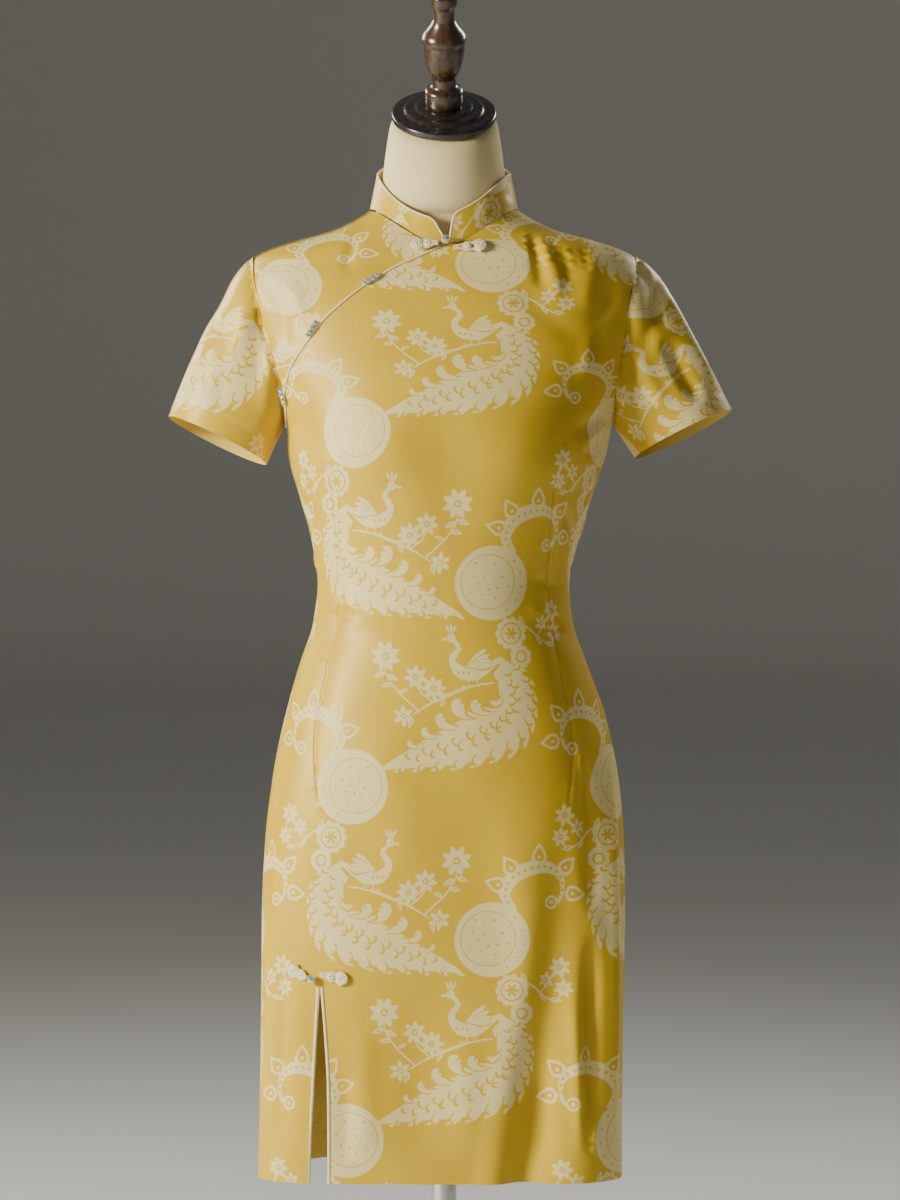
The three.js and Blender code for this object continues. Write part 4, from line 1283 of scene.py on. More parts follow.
def closed_edge(parts: Sequence[Array], gap: float = 3.5) -> Array:
    """One closed outline from lines that follow on, with evenly spaced points.

    Args:
        parts: Lines that start where the one before ends, or near it.
        gap: About how far apart the points are.

    Returns:
        The outline's points, none repeated.
    """
    points = np.concatenate([respaced(np.asarray(p, float), gap) for p in parts])
    keep = np.linalg.norm(points - np.roll(points, 1, axis=0), axis=1) > 0.4
    return points[keep]


DART = ((114.5, 1160), (107.5, 1089), (105.5, 1007), (116.5, 940), (127.5, 873), (121.5, 797))
BACK_DART = ((92, 1190), (88, 1100), (84, 1010), (90, 940), (98, 870), (100, 800))
# Front creases in front view: start x and z, end x and z, bow, width and depth.
FRONT_CREASES = (
    (139, 860, 146, 690, 2, 9, -3.4),
    (146, 690, 148, 470, -3, 8, -7),
    (164, 880, 166, 460, 2, 9, 3.5),
    (126, 640, 132, 448, 2, 7, 2),
    (118, 1100, 128, 1060, 2, 7, -1.4),
    (-118, 1100, -126, 1058, -2, 7, -1.3),
    (84, 1030, 122, 1012, 4, 6, -1.3),
    (80, 1004, 121, 996, -3, 6, 1.0),
    (86, 980, 124, 974, 3, 5, -1.1),
    (-84, 1034, -121, 1014, -4, 6, -1.3),
    (-82, 1000, -120, 994, 3, 6, -1.1),
    (82, 1374, 96, 1310, 4, 7, -2.2),
    (94, 1368, 112, 1300, 4, 7, 1.6),
    (112, 1362, 124, 1316, 3, 5, -1.3),
    (150, 1352, 140, 1290, -4, 10, 1.4),
    (176, 1330, 150, 1240, -8, 11, -2.2),
    (168, 1300, 138, 1215, -8, 10, 1.8),
    (166, 1200, 122, 1176, 5, 9, -1.6),
    (164, 1190, 116, 1152, 4, 7, 1.2),
    (-152, 1190, -112, 1160, -4, 8, -1.3),
    (70, 1330, 150, 1260, -10, 14, -1.2),
    (-60, 1200, -40, 1120, 4, 22, 0.9),
    (30, 1180, 10, 1060, -6, 26, -1.0),
    (-70, 900, -40, 700, 10, 30, 1.2),
    (20, 860, 40, 620, 8, 34, -1.5),
    (70, 800, 86, 560, 6, 20, 1.8),
    (-30, 640, -24, 446, 4, 24, -1.6),
    (24, 600, 30, 444, -4, 18, 1.4),
    (-84, 610, -78, 444, 3, 14, 1.6),
    (78, 1376, 84, 1342, 1, 2.4, 0.8),
    (86, 1374, 93, 1336, 1, 2.6, -0.9),
    (94, 1372, 103, 1330, 2, 2.4, 0.8),
    (106, 1368, 112, 1338, 1, 2.6, -0.7),
    (118, 1364, 127, 1334, 1, 2.4, 0.6),
    (136, 1360, 142, 1330, 1, 3, -0.8),
    (-82, 1374, -88, 1350, 1, 2.4, 0.6),
    (148, 1126, 130, 1092, 3, 5, -1.5),
    (152, 1096, 132, 1066, 3, 4, 1.2),
    (140, 1060, 124, 1036, 2, 4, -1.3),
    (-140, 1112, -124, 1086, -3, 4.5, -1.3),
    (-134, 1056, -120, 1034, -2, 4, 1.1),
    (133, 868, 138, 800, 1, 3, 1.2),
    (140, 862, 146, 780, 1, 3.4, -1.3),
    (-160, 700, -164, 450, 3, 10, -2),
    (-100, 560, -98, 446, 2, 9, -1.4),
    (88, 560, 96, 444, 4, 12, -1.8),
    (150, 560, 141, 446, 4, 4, 1.3),
    (140, 520, 147, 452, -3, 3.5, -1.2),
)
BACK_CREASES = (
    (-84, 1034, -121, 1014, -4, 7, -1.4),
    (84, 1036, 121, 1012, 4, 7, -1.4),
    (-86, 1000, -120, 990, 3, 6, 1.1),
    (86, 1004, 120, 992, -3, 6, 1.2),
    (-60, 985, 60, 990, 5, 9, -1.3),
    (-50, 962, 55, 958, -4, 8, 1.1),
    (-150, 1330, -110, 1250, 8, 11, -2),
    (150, 1330, 112, 1245, -8, 12, -2.1),
    (-130, 1300, -100, 1225, 6, 9, 1.5),
    (132, 1300, 96, 1220, -6, 10, 1.4),
    (-60, 860, -44, 640, 6, 26, 1.5),
    (50, 880, 62, 620, -6, 24, 1.4),
    (0, 840, 6, 600, 5, 22, -1.6),
    (-100, 700, -96, 446, 4, 14, 2.2),
    (30, 640, 26, 446, 4, 16, -2),
    (-30, 620, -36, 446, -4, 15, -1.8),
    (100, 660, 108, 446, 4, 13, -2.1),
    (150, 700, 156, 450, 3, 10, 2),
    (-78, 1374, -92, 1320, 3, 7, -1.6),
    (80, 1374, 94, 1322, -3, 7, -1.5),
)


class Cloth:
    """The dress's body cloth: front, under front and back."""

    def __init__(self, finishes: Finishes) -> None:
        """Takes the finishes and draws the brocade's group once.

        Args:
            finishes: The part's materials.
        """
        self.finishes = finishes
        self.group = moonlit_bird()
        self.right = body_lines(FRONT, -1)
        self.left = body_lines(FRONT, 1)

    def flap_line(self, lap: float = 0.0) -> Array:
        """The flap's edge on the flat cloth, or a line beyond it by some lap."""
        edge = catmull(FLAP_EDGE, 90)
        return FRONT.flat(edge[:, 0] - lap * 0.35, edge[:, 1] - lap)

    def slit_line(self) -> Array:
        """The cut round the thigh slit, from the hem's outer corner up and back down the inner edge."""
        z = np.linspace(HEM_Z, SLIT_TOP_Z, 50)
        outer = Curve(column(SLIT, 0), column(SLIT, 1))(z) - 1.6
        inner = Curve(column(SLIT, 0), column(SLIT, 2))(z) + 1.6
        return FRONT.flat(np.concatenate([outer, inner[::-1]]), np.concatenate([z, z[::-1]]))

    def neck_line(self, start: float, end: float, surface: BodySurface) -> Array:
        """The neckline on the flat cloth between two angles round the neck."""
        points = neckline(np.linspace(start, end, 50))
        return surface.flat(points[:, 0], points[:, 2])

    def dart_lines(self, surface: BodySurface, stops: Sequence[Point2]) -> list[Array]:
        """A pair of darts on the flat cloth."""
        line = catmull(stops, 60)
        return [respaced(surface.flat(side * line[:, 0], line[:, 1]), 4) for side in (-1, 1)]

    def dart_creases(self, lines: list[Array]) -> list[Crease]:
        """The stitched groove of each dart, and the cloth drawn in beside it."""
        creases = []
        for line in lines:
            creases += [Crease(line, 1.7, -1.5, 0.12), Crease(line, 11, -1.6, 0.35)]
            for k in range(3, len(line) - 3, 5):
                middle, step = line[k], line[k + 1] - line[k]
                side = np.array([-step[1], step[0]]) / np.hypot(*step)
                reach = 9 + 4 * math.sin(k * 1.7)
                lift = 0.35 + 0.2 * math.sin(k * 2.3)
                ends = np.array([middle - side * reach, middle + side * reach + step])
                creases.append(Crease(ends, 2.4, lift))
        return creases

    def front(self) -> bpy.types.Object:
        """The front with its flap and thigh slit."""
        slit, flap = self.slit_line(), self.flap_line()
        hem = CLOTH_UP(HEM_Z)
        corner = FRONT.flat(*FLAP_FOOT)
        side_right = self.right["side"][self.right["side"][:, 1] < corner[1]]
        edge = closed_edge(
            [
                np.array([self.right["side"][0], slit[0]]),
                slit,
                np.array([slit[-1], [self.left["side"][0][0], hem]]),
                self.left["side"],
                self.left["armhole"],
                self.left["shoulder"],
                self.neck_line(90, 2, FRONT),
                flap,
                np.array([corner, side_right[-1]]),
                side_right[::-1],
            ]
        )
        darts = self.dart_lines(FRONT, DART)
        out, up = np.linspace(156, 112, 20), np.linspace(1150, 1166, 20)
        bust = [respaced(FRONT.flat(side * out, up), 4) for side in (-1, 1)]
        return Panel(
            name="front_cloth",
            node="front_panel",
            surface=FRONT,
            edge=edge,
            creases=crease_rows(FRONT, FRONT_CREASES) + self.dart_creases(darts),
            repeat=Repeat(-93.0, 1177.0),
            flat=(0.5, 0.95),
            area=0.392,
            seams=[self.left["armhole"], self.left["shoulder"], *bust],
            fine=darts,
            turned_out=BY_THE_SLIT,
        ).build(self.finishes, self.group)

    def under_front(self) -> bpy.types.Object:
        """The under front that shows beyond the flap's edge."""
        flap = self.flap_line(20)
        low = flap[-1][1]
        side = self.right["side"][self.right["side"][:, 1] > low]
        edge = closed_edge(
            [
                flap,
                np.array([flap[-1], side[0]]),
                side,
                self.right["armhole"],
                self.right["shoulder"],
                self.neck_line(-90, -6, FRONT),
            ]
        )[::-1]
        rows = (
            (-176, 1330, -158, 1250, 6, 10, -1.6),
            (-160, 1330, -140, 1280, 4, 9, 1.2),
            (-84, 1374, -96, 1330, -3, 6, -1.5),
        )
        return Panel(
            name="under_front_cloth",
            node="under_front",
            surface=FRONT,
            edge=edge,
            creases=crease_rows(FRONT, rows),
            repeat=Repeat(-158.0, 1350.0, first_mirrored=False),
            flat=(0.2, 0.26),
            area=0.0235,
            seams=[self.right["armhole"], self.right["shoulder"]],
            sunk=1.7,
            thick=0.8,
        ).build(self.finishes, self.group)

    def back(self) -> bpy.types.Object:
        """The back, in one piece."""
        right, left = body_lines(BACK, -1), body_lines(BACK, 1)
        hem = CLOTH_UP(HEM_Z)
        edge = closed_edge(
            [
                np.array([right["side"][0], [left["side"][0][0], hem]]),
                left["side"],
                left["armhole"],
                left["shoulder"],
                self.neck_line(90, 270, BACK),
                right["shoulder"][::-1],
                right["armhole"][::-1],
                right["side"][::-1],
            ]
        )
        darts = self.dart_lines(BACK, BACK_DART)
        return Panel(
            name="back_cloth",
            node="back_panel",
            surface=BACK,
            edge=edge,
            creases=crease_rows(BACK, BACK_CREASES) + self.dart_creases(darts),
            repeat=Repeat(-62.0, 1120.0, first_mirrored=False),
            flat=(0.54, 0.98),
            area=0.432,
            seams=[right["armhole"], right["shoulder"], left["armhole"], left["shoulder"]],
            fine=darts,
            outward=-1.0,
            turned_out=BY_THE_SLIT,
        ).build(self.finishes, self.group)


@dataclass(frozen=True)
class SleeveCut:
    """One sleeve's sizes, and where its brocade and its creases lie."""

    name: str
    node: str
    side: int
    x: float
    z: float
    half: float
    deep: float
    drop: float
    lean: float
    head: float
    puff: float
    repeat: Repeat
    creases: tuple[tuple[float, float, float, float, float, float], ...]
    y: float = -4.0
    around: float = 1.0  # cloth for each degree round the arm


class Sleeve:
    """A short set-in sleeve over its flat cut: u runs round the arm from its top, v up from the cuff."""

    def __init__(self, cut: SleeveCut) -> None:
        """Measures the sleeve's length at each angle round the arm.

        Args:
            cut: Its sizes.
        """
        self.cut = cut
        degrees = np.arange(0, 361, 3.0)
        lengths = np.linalg.norm(self.cuff(degrees) - self.armhole(degrees), axis=1)
        self.length = Curve(degrees, np.maximum(lengths, 20))

    def armhole(self, degrees: Array) -> Array:
        """The armhole at angles round it: 0 at the armpit, 90 in front and 180 at the shoulder tip."""
        a = np.radians(degrees)
        z = ARMPIT_Z + (TIP[1] - ARMPIT_Z) * (1 - np.cos(a)) / 2
        x = self.cut.side * ARMHOLE_X[self.cut.side](z)
        s = np.sin(a)
        y = np.where(s >= 0, FRONT.depth(x, z), BACK.depth(x, z))
        closeness = smoothstep(np.abs(s) / 0.06)
        y = SHOULDER_Y + (y - SHOULDER_Y) * closeness
        return np.stack([x + self.cut.side * 0.25, y, z], -1)

    def cuff(self, degrees: Array) -> Array:
        """The cuff at the same angles."""
        a = np.radians(degrees)[:, None]
        drop, lean = math.radians(self.cut.drop), math.radians(self.cut.lean)
        inward = np.array([-self.cut.side * math.cos(drop), 0, -math.sin(drop)])
        outward = np.array([self.cut.side * math.sin(drop), 0, -math.cos(drop)])
        back = np.array([0, math.cos(lean), 0]) + outward * math.sin(lean)
        centre = np.array([self.cut.side * self.cut.x, self.cut.y, self.cut.z])
        return centre + inward * self.cut.half * np.cos(a) - back * self.cut.deep * np.sin(a)

    def __call__(self, uv: Array) -> Array:
        """The points of places on the flat cloth, in millimetres."""
        degrees = np.clip(180 + uv[:, 0] / self.cut.around, -6, 366) % 360
        s = np.clip(1 - uv[:, 1] / self.length(degrees), -0.05, 1.02)
        topness = np.maximum(0, -np.cos(np.radians(degrees)))
        head = np.exp(-(((s - 0.13) / 0.13) ** 2))
        puff = topness * (self.cut.head * head + self.cut.puff * np.sin(math.pi * np.clip(s, 0, 1)))
        point = self.armhole(degrees) * (1 - s)[:, None] + self.cuff(degrees) * s[:, None]
        return point + puff[:, None] * np.array([self.cut.side * 0.88, 0, 0.47])

    def build(self, finishes: Finishes, group: list[Shape]) -> bpy.types.Object:
        """Cuts and hangs the sleeve.

        Args:
            finishes: The part's materials.
            group: The brocade's group of shapes.

        Returns:
            The finished object.
        """
        degrees = np.linspace(0, 360, 140)
        u = (degrees - 180) * self.cut.around
        head = np.stack([u, self.length(degrees) + 2.5], 1)
        foot = np.stack([u, np.zeros(len(u))], 1)
        edge = closed_edge([foot, np.array([foot[-1], head[-1]]), head[::-1], np.array([head[0], foot[0]])])
        creases = []
        for u0, v0, u1, v1, width, depth in self.cut.creases:
            bow = np.array([[u0, v0], [(u0 + u1) / 2 + (v1 - v0) * 0.06, (v0 + v1) / 2], [u1, v1]])
            creases.append(Crease(catmull(bow, 9), width, depth))
        hem_fold = np.stack([np.linspace(-178, 178, 60) * self.cut.around, np.full(60, 18.0)], 1)
        creases.append(Crease(hem_fold, 1.6, -0.35, 0.0))
        creases.append(Crease(head - np.array([0, 1.5]), 3.2, -1.9, 0.0))
        return Panel(
            name=self.cut.name,
            node=self.cut.node,
            surface=self,
            edge=edge,
            creases=creases,
            repeat=self.cut.repeat,
            flat=(0.36, 0.17),
            area=0.0388,
            outward=1.0 if self.cut.side > 0 else -1.0,
            grid=5.0,
        ).build(finishes, group)


# Sleeve creases on the flat cut: start u and v, end u and v, width and depth. u is minus in front.
SLEEVES = (
    SleeveCut(
        "sleeve_right_cloth", "sleeve_right", -1, 226, 1166.5, 54.5, 46, 26, 8, 4, 7,
        Repeat(-62.0, 190.0),
        (
            (-60, 150, -100, 60, 9, -2.6),
            (-84, 120, -118, 40, 8, 2.2),
            (-20, 165, -70, 90, 10, 1.6),
            (-40, 120, -76, 20, 9, -1.6),
            (-110, 90, -140, 10, 7, -2),
            (-6, 120, -30, 10, 12, 1.6),
            (30, 160, 60, 60, 10, -2.2),
            (60, 140, 96, 40, 9, 2.2),
            (90, 120, 130, 20, 8, -2.2),
        ),
    ),
    SleeveCut(
        "sleeve_left_cloth", "sleeve_left", 1, 239, 1173, 54, 47, 26.5, 7.5, 8, 6,
        Repeat(-50.0, 150.0, first_mirrored=False),
        (
            (-20, 178, -52, 92, 10, -5.6),
            (-52, 92, -58, 14, 9, -6.8),
            (-2, 150, -30, 20, 11, 5.0),
            (8, 170, -96, 70, 7, -3.2),
            (-44, 170, -84, 96, 9, 2.8),
            (-84, 96, -92, 24, 8, 3.4),
            (-70, 130, -104, 60, 7, -2.2),
            (-112, 90, -136, 16, 7, 1.8),
            (30, 170, 50, 70, 10, -2.4),
            (60, 140, 92, 36, 9, 2.2),
            (94, 110, 128, 20, 8, -2),
        ),
    ),
)


class Collar:
    """The stiff standing collar over its flat cut: u runs round the neck from behind, v up the band."""

    HALF, FRONT_Y, BACK_Y, SIDE_Z, FRONT_Z, BACK_Z = 67.0, -56.0, 63.0, 1431.0, 1385.0, 1452.0
    AROUND = 1.2
    ENDS = {
        1: Curve([4.7, 5.6, 8.1, 10.3, 14, 26], [0.1, 0.35, 0.8, 0.93, 1, 1]),
        -1: Curve([0.2, 1, 4, 8.2, 13.4, 26], [0.1, 0.27, 0.52, 0.84, 0.97, 1]),
    }

    def __init__(self) -> None:
        """Finds the neckline at every angle that the collar covers."""
        self.degrees = np.arange(0, 361, 1.5)
        self.feet = neckline(self.degrees)
        self.feet[:, 2] += 0.8

    def foot(self, degrees: Array) -> Array:
        """The collar's foot at angles round the neck."""
        index, weights = cubic_taps(degrees / 1.5, len(self.degrees))
        return sum(self.feet[i] * w[:, None] for i, w in zip(index, weights))

    def top(self, degrees: Array) -> Array:
        """The full-height rim at angles round the neck."""
        a = np.radians(degrees)
        c = np.cos(a)
        ahead, left = c > 0, degrees < 90
        power = np.where(~ahead, 1.2, np.where(left, 2.5, 1.45))
        end_z = np.where(ahead, self.FRONT_Z + np.where(left, 5, 0), self.BACK_Z)
        y = SHOULDER_Y + (np.where(ahead, self.FRONT_Y, self.BACK_Y) - SHOULDER_Y) * np.abs(c)
        z = self.SIDE_Z + (end_z - self.SIDE_Z) * np.abs(c) ** power
        return np.stack([self.HALF * np.sin(a), y, z], -1)

    def tall(self, degrees: Array) -> Array:
        """The band's full height at angles round the neck."""
        return np.linalg.norm(self.top(degrees) - self.foot(degrees), axis=1)

    def height(self, degrees: Array) -> Array:
        """The band's height with its rounded front ends."""
        end = np.where(
            degrees < 180, self.ENDS[1](np.minimum(degrees, 26)), self.ENDS[-1](np.minimum(360 - degrees, 26))
        )
        return self.tall(degrees) * end

    def __call__(self, uv: Array) -> Array:
        """The points of places on the flat cloth, in millimetres."""
        degrees = np.clip(180 + uv[:, 0] / self.AROUND, 0.2, 359.8)
        share = (uv[:, 1] / self.tall(degrees))[:, None]
        return self.foot(degrees) * (1 - share) + self.top(degrees) * share

    def rim(self, count: int) -> Array:
        """The rim's points on the flat cloth, from the wearer's left end to the right."""
        t = np.linspace(-1, 1, count)
        degrees = 4.7 + (359.8 - 4.7) * (0.5 + 0.5 * np.sign(t) * (1 - (1 - np.abs(t)) ** 1.7))
        return np.stack([(degrees - 180) * self.AROUND, self.height(degrees)], 1)

    def build(self, finishes: Finishes, group: list[Shape]) -> bpy.types.Object:
        """Cuts and stands the collar.

        Args:
            finishes: The part's materials.
            group: The brocade's group of shapes.

        Returns:
            The finished object.
        """
        rim = self.rim(200)
        foot = np.stack([rim[:, 0], np.zeros(len(rim))], 1)
        edge = closed_edge([foot, np.array([foot[-1], rim[-1]]), rim[::-1], np.array([rim[0], foot[0]])], 2.5)
        creases = [
            Crease(np.array([[-140.0, 8], [-128, 36]]), 7, -0.8),
            Crease(np.array([[-176.0, 6], [-168, 34]]), 8, 0.7),
            Crease(np.array([[150.0, 6], [158, 34]]), 8, 0.8),
            Crease(np.array([[176.0, 8], [184, 30]]), 7, -0.7),
        ]
        return Panel(
            name="collar_cloth",
            node="collar",
            surface=self,
            edge=edge,
            creases=creases,
            repeat=Repeat(-150.0, 60.0),
            flat=(0.44, 0.06),
            area=0.0136,
            thick=1.7,
            grid=4.5,
            outward=1.0,
        ).build(finishes, group)


# ---- trims ----


def tube(name: str, lines: Sequence[Array], radius: float, smooth: int = 3) -> bpy.types.Mesh:
    """A mesh of round cords along open lines of points.

    Args:
        name: The mesh's name.
        lines: The lines, in millimetres.
        radius: The cord's radius.
        smooth: How round its section is.

    Returns:
        The mesh, in metres, with closed ends.
    """
    curve = bpy.data.curves.new(name, "CURVE")
    curve.dimensions = "3D"
    curve.bevel_depth = radius * MM
    curve.bevel_resolution = smooth
    curve.use_fill_caps = True
    for line in lines:
        spline = curve.splines.new("POLY")
        spline.points.add(len(line) - 1)
        for point, (x, y, z) in zip(spline.points, line):
            point.co = (x * MM, y * MM, z * MM, 1)
    holder = linked(name, curve)
    bpy.context.view_layer.update()
    mesh = bpy.data.meshes.new_from_object(holder.evaluated_get(bpy.context.evaluated_depsgraph_get()))
    bpy.data.objects.remove(holder)
    bpy.data.curves.remove(curve)
    mesh.name = name
    mesh.shade_smooth()
    return mesh


def give(
    obj: bpy.types.Object, nodes: Sequence[str], materials: Sequence[bpy.types.Material]
) -> bpy.types.Object:
    """Dresses a piece and hands it to the frame.

    Args:
        obj: The piece.
        nodes: The CAD nodes that it stands for.
        materials: Its materials.

    Returns:
        The piece.
    """
    obj.data.materials.clear()
    for material in materials:
        obj.data.materials.append(material)
    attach(obj, "root")
    if nodes:
        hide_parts(*nodes)
    LOG.info("%s: %d faces", obj.name, len(obj.data.polygons))
    return obj


def drawn(bm: bmesh.types.BMesh, name: str) -> bpy.types.Mesh:
    """A new mesh of what has been modelled."""
    mesh = bpy.data.meshes.new(name)
    bm.to_mesh(mesh)
    bm.free()
    return mesh


def placement(spot: Array, axes: Array) -> Matrix:
    """The matrix of a place in millimetres and three axes in rows."""
    return Matrix.Translation(Vector(spot * MM)) @ Matrix(axes.T.tolist()).to_4x4()


def ball(bm: bmesh.types.BMesh, spot: Array, radius: float, rounds: int = 1) -> None:
    """A ball at a place, both in millimetres."""
    place = Matrix.Translation(Vector(spot * MM))
    bmesh.ops.create_icosphere(bm, subdivisions=rounds, radius=radius * MM, matrix=place)


class Trims:
    """The pipings, frog fastenings, buttons and clasps."""

    def __init__(self, finishes: Finishes) -> None:
        """Takes the finishes.

        Args:
            finishes: The part's materials.
        """
        self.finishes = finishes

    def on_front(self, x: Array, z: Array, above: float) -> Array:
        """Points above the front at places in front view."""
        x, z = np.broadcast_arrays(np.asarray(x, float), np.asarray(z, float))
        point = np.stack([x, FRONT.depth(x, z), z], -1)
        return point + self.out(x, z) * above

    def out(self, x: Array, z: Array) -> Array:
        """The front's outward normals at places in front view."""
        across = (FRONT.depth(x + 2, z) - FRONT.depth(x - 2, z)) / 4
        up = (FRONT.depth(x, z + 2) - FRONT.depth(x, z - 2)) / 4
        normal = np.stack([across, -np.ones(np.shape(across)), up], -1)
        return normal / np.linalg.norm(normal, axis=-1, keepdims=True)

    def piping(self, name: str, node: str, line: Array, radius: float) -> bpy.types.Object:
        """One round piping."""
        mesh = tube(name, [respaced(line, 2.5)], radius)
        return give(linked(name, mesh), [node], [self.finishes.cord])

    def pipings(self, collar: Collar) -> None:
        """Every piping of the dress."""
        edge = catmull(FLAP_EDGE, 120)[6:]
        step = np.gradient(edge, axis=0)
        step /= np.linalg.norm(step, axis=1)[:, None]
        x, z = edge[:, 0] + step[:, 1] * 1.0, edge[:, 1] - step[:, 0] * 1.0
        self.piping("flap_piping_cord", "flap_piping", self.on_front(x, z, 0.5), 1.15)
        heights = np.linspace(SLIT_TOP_Z, HEM_Z - SEAM, 60)
        for name, index, way in (("outer", 1, -1), ("inner", 2, 1)):
            across = Curve(column(SLIT, 0), column(SLIT, index))(heights) + way * 1.3
            line = self.on_front(across, heights, -0.3)
            self.piping(f"slit_piping_{name}_cord", f"slit_piping_{name}", line, 1.7)
        rim = collar.rim(220)
        middle = collar(rim)
        inward = -middle * np.array([1, 1, 0]) + np.array([0, SHOULDER_Y, 0])
        inward /= np.linalg.norm(inward, axis=1)[:, None]
        line = middle + inward * 0.8 + np.array([0, 0, 0.5])
        self.piping("collar_piping_cord", "collar_piping", line, 1.15)

    def frame_at(self, x: float, z: float, above: float, direction: Point2) -> tuple[Array, Array]:
        """A fastening's place and its axes: along it, across it and out of the cloth.

        Args:
            x: Its place across.
            z: Its place up.
            above: How far it is out of the cloth.
            direction: Which way it runs, across and up.

        Returns:
            The place and the three axes as rows.
        """
        spot = self.on_front(np.array([x]), np.array([z]), above)[0]
        out = self.out(np.array([x]), np.array([z]))[0]
        along = np.array([direction[0], 0.0, direction[1]])
        along = along - out * (along @ out)
        along = along / np.linalg.norm(along)
        return spot, np.stack([along, np.cross(out, along), out])

    def wing(
        self, node: str, x: float, z: float, apart: float, reach: float, above: float, way: Point2
    ) -> None:
        """One wing of a frog: two wound coils and the doubled cord to its button.

        Args:
            node: The CAD node it stands for.
            x: The small coil's place across.
            z: Its place up.
            apart: How far the large coil is beyond it.
            reach: How far the cord goes back to the button.
            above: How far the coils' underside is out of the cloth.
            way: Which way the wing runs, across and up.
        """
        spot, axes = self.frame_at(x, z, above + 1.5, way)
        lines = []
        for centre, outer in ((0.0, 5.4), (apart, 7.4)):
            turns = outer / 2.5
            t = np.linspace(0, 1, int(26 * turns))
            r = 1.0 + (outer - 2.4) * t
            a = 2 * math.pi * turns * t + math.pi
            lift = 0.9 * (1 - t) * (1 if outer > 6 else 1.3)
            lines.append(np.stack([centre + r * np.cos(a), r * np.sin(a), lift], 1))
        for side in (-1, 1):
            stops = [
                (-reach, side * 1.2, 0.6),
                (-reach * 0.6, side * 1.5, 0.5),
                (-3.4, side * 2.6, 0.2),
                (0, side * 3.9, -0.2),
                (apart * 0.45, side * 3.4, -0.4),
                (apart, side * 6.2, -0.5),
            ]
            lines.append(catmull(stops, 26))
        placed = [spot + line @ axes for line in lines]
        name = f"{node}_cord"
        give(linked(name, tube(name, placed, 1.55)), [node], [self.finishes.cord])

    def gem(self, bm: bmesh.types.BMesh, spot: Array, axes: Array, radius: float) -> None:
        """A cut stone: a brilliant's crown over its pavilion."""
        r = radius * MM
        for low, high, depth, middle in ((1.0, 0.55, 0.7, 0.35), (0.5, 1.0, 0.5, -0.25)):
            bmesh.ops.create_cone(
                bm,
                cap_ends=True,
                segments=8,
                radius1=low * r,
                radius2=high * r,
                depth=depth * r,
                matrix=placement(spot, axes) @ Matrix.Translation((0, 0, middle * r)),
            )

    def jewel(self, bm: bmesh.types.BMesh, first: int, name: str, node: str) -> None:
        """Finishes a jewelled piece.

        Args:
            bm: Its mesh.
            first: The first face that belongs to the metal setting.
            name: Its name.
            node: The CAD node it stands for.
        """
        bm.faces.ensure_lookup_table()
        for face in bm.faces[first:]:
            face.material_index = 1
        give(linked(name, drawn(bm, name)), [node], [self.finishes.crystal, self.finishes.setting])

    def button(self, node: str, x: float, z: float, above: float, size: float) -> None:
        """A crystal ball button with a beaded cup round it."""
        spot, axes = self.frame_at(x, z, above, (1, 0))
        bm = bmesh.new()
        ball(bm, spot, size / 2, 2)
        first = len(bm.faces)
        for k in range(12):
            a = math.pi * k / 6
            round_it = axes[0] * math.cos(a) + axes[1] * math.sin(a)
            bead = spot + round_it * size * 0.5 - axes[2] * 0.8
            ball(bm, bead, 0.75)
        self.jewel(bm, first, f"{node}_crystal", node)

    def clasp(self, node: str, x: float, z: float, way: Point2) -> None:
        """A bar clasp: a thin setting with four stones."""
        spot, axes = self.frame_at(x, z, 2.2, way)
        bm = bmesh.new()
        for offset, radius in ((-6.2, 2.6), (-1.2, 3.3), (4.2, 2.9), (8.4, 2.1)):
            self.gem(bm, spot + axes[0] * offset + axes[2] * 1.5, axes, radius)
        first = len(bm.faces)
        plate = placement(spot, axes) @ Matrix.Diagonal((0.0165, 0.0042, 0.0014, 1))
        made = bmesh.ops.create_cube(bm, size=1.0, matrix=plate)
        edges = list({e for v in made["verts"] for e in v.link_edges})
        bmesh.ops.bevel(bm, geom=edges, offset=0.0005, segments=2, profile=0.5, affect="EDGES", material=-1)
        for offset in (-7.6, -3.4, 1.0, 5.2, 8.2):
            for side in (-1, 1):
                prong = spot + axes[0] * offset + axes[1] * side * 2.1 + axes[2] * 1.4
                ball(bm, prong, 0.55)
        self.jewel(bm, first, f"{node}_stones", node)

    def fastenings(self) -> None:
        """Both frogs with their buttons, and the three clasps."""
        self.wing("neck_frog_right", -15.7, 1358, 10.2, 10, 3.6, (-1, -0.02))
        self.wing("neck_frog_left", 23, 1355.7, 12.5, 14, 1.8, (1, 0.14))
        self.wing("slit_frog_outer", -139.7, 641, 8.6, 6.5, 1.2, (-1, 0.45))
        self.wing("slit_frog_inner", -110, 640.2, 10.4, 12, 1.0, (1, -0.16))
        self.button("neck_button", 1.7, 1360.5, 7.6, 8.5)
        self.button("slit_button", -128.7, 637.2, 6.6, 8.5)
        self.clasp("clasp_upper", -70.5, 1324.5, (-1, -0.68))
        self.clasp("clasp_middle", -128, 1276.5, (-0.68, -1))
        self.clasp("clasp_lower", -157.4, 1211.7, (-0.05, -1))


# ---- the dress form and its stand ----

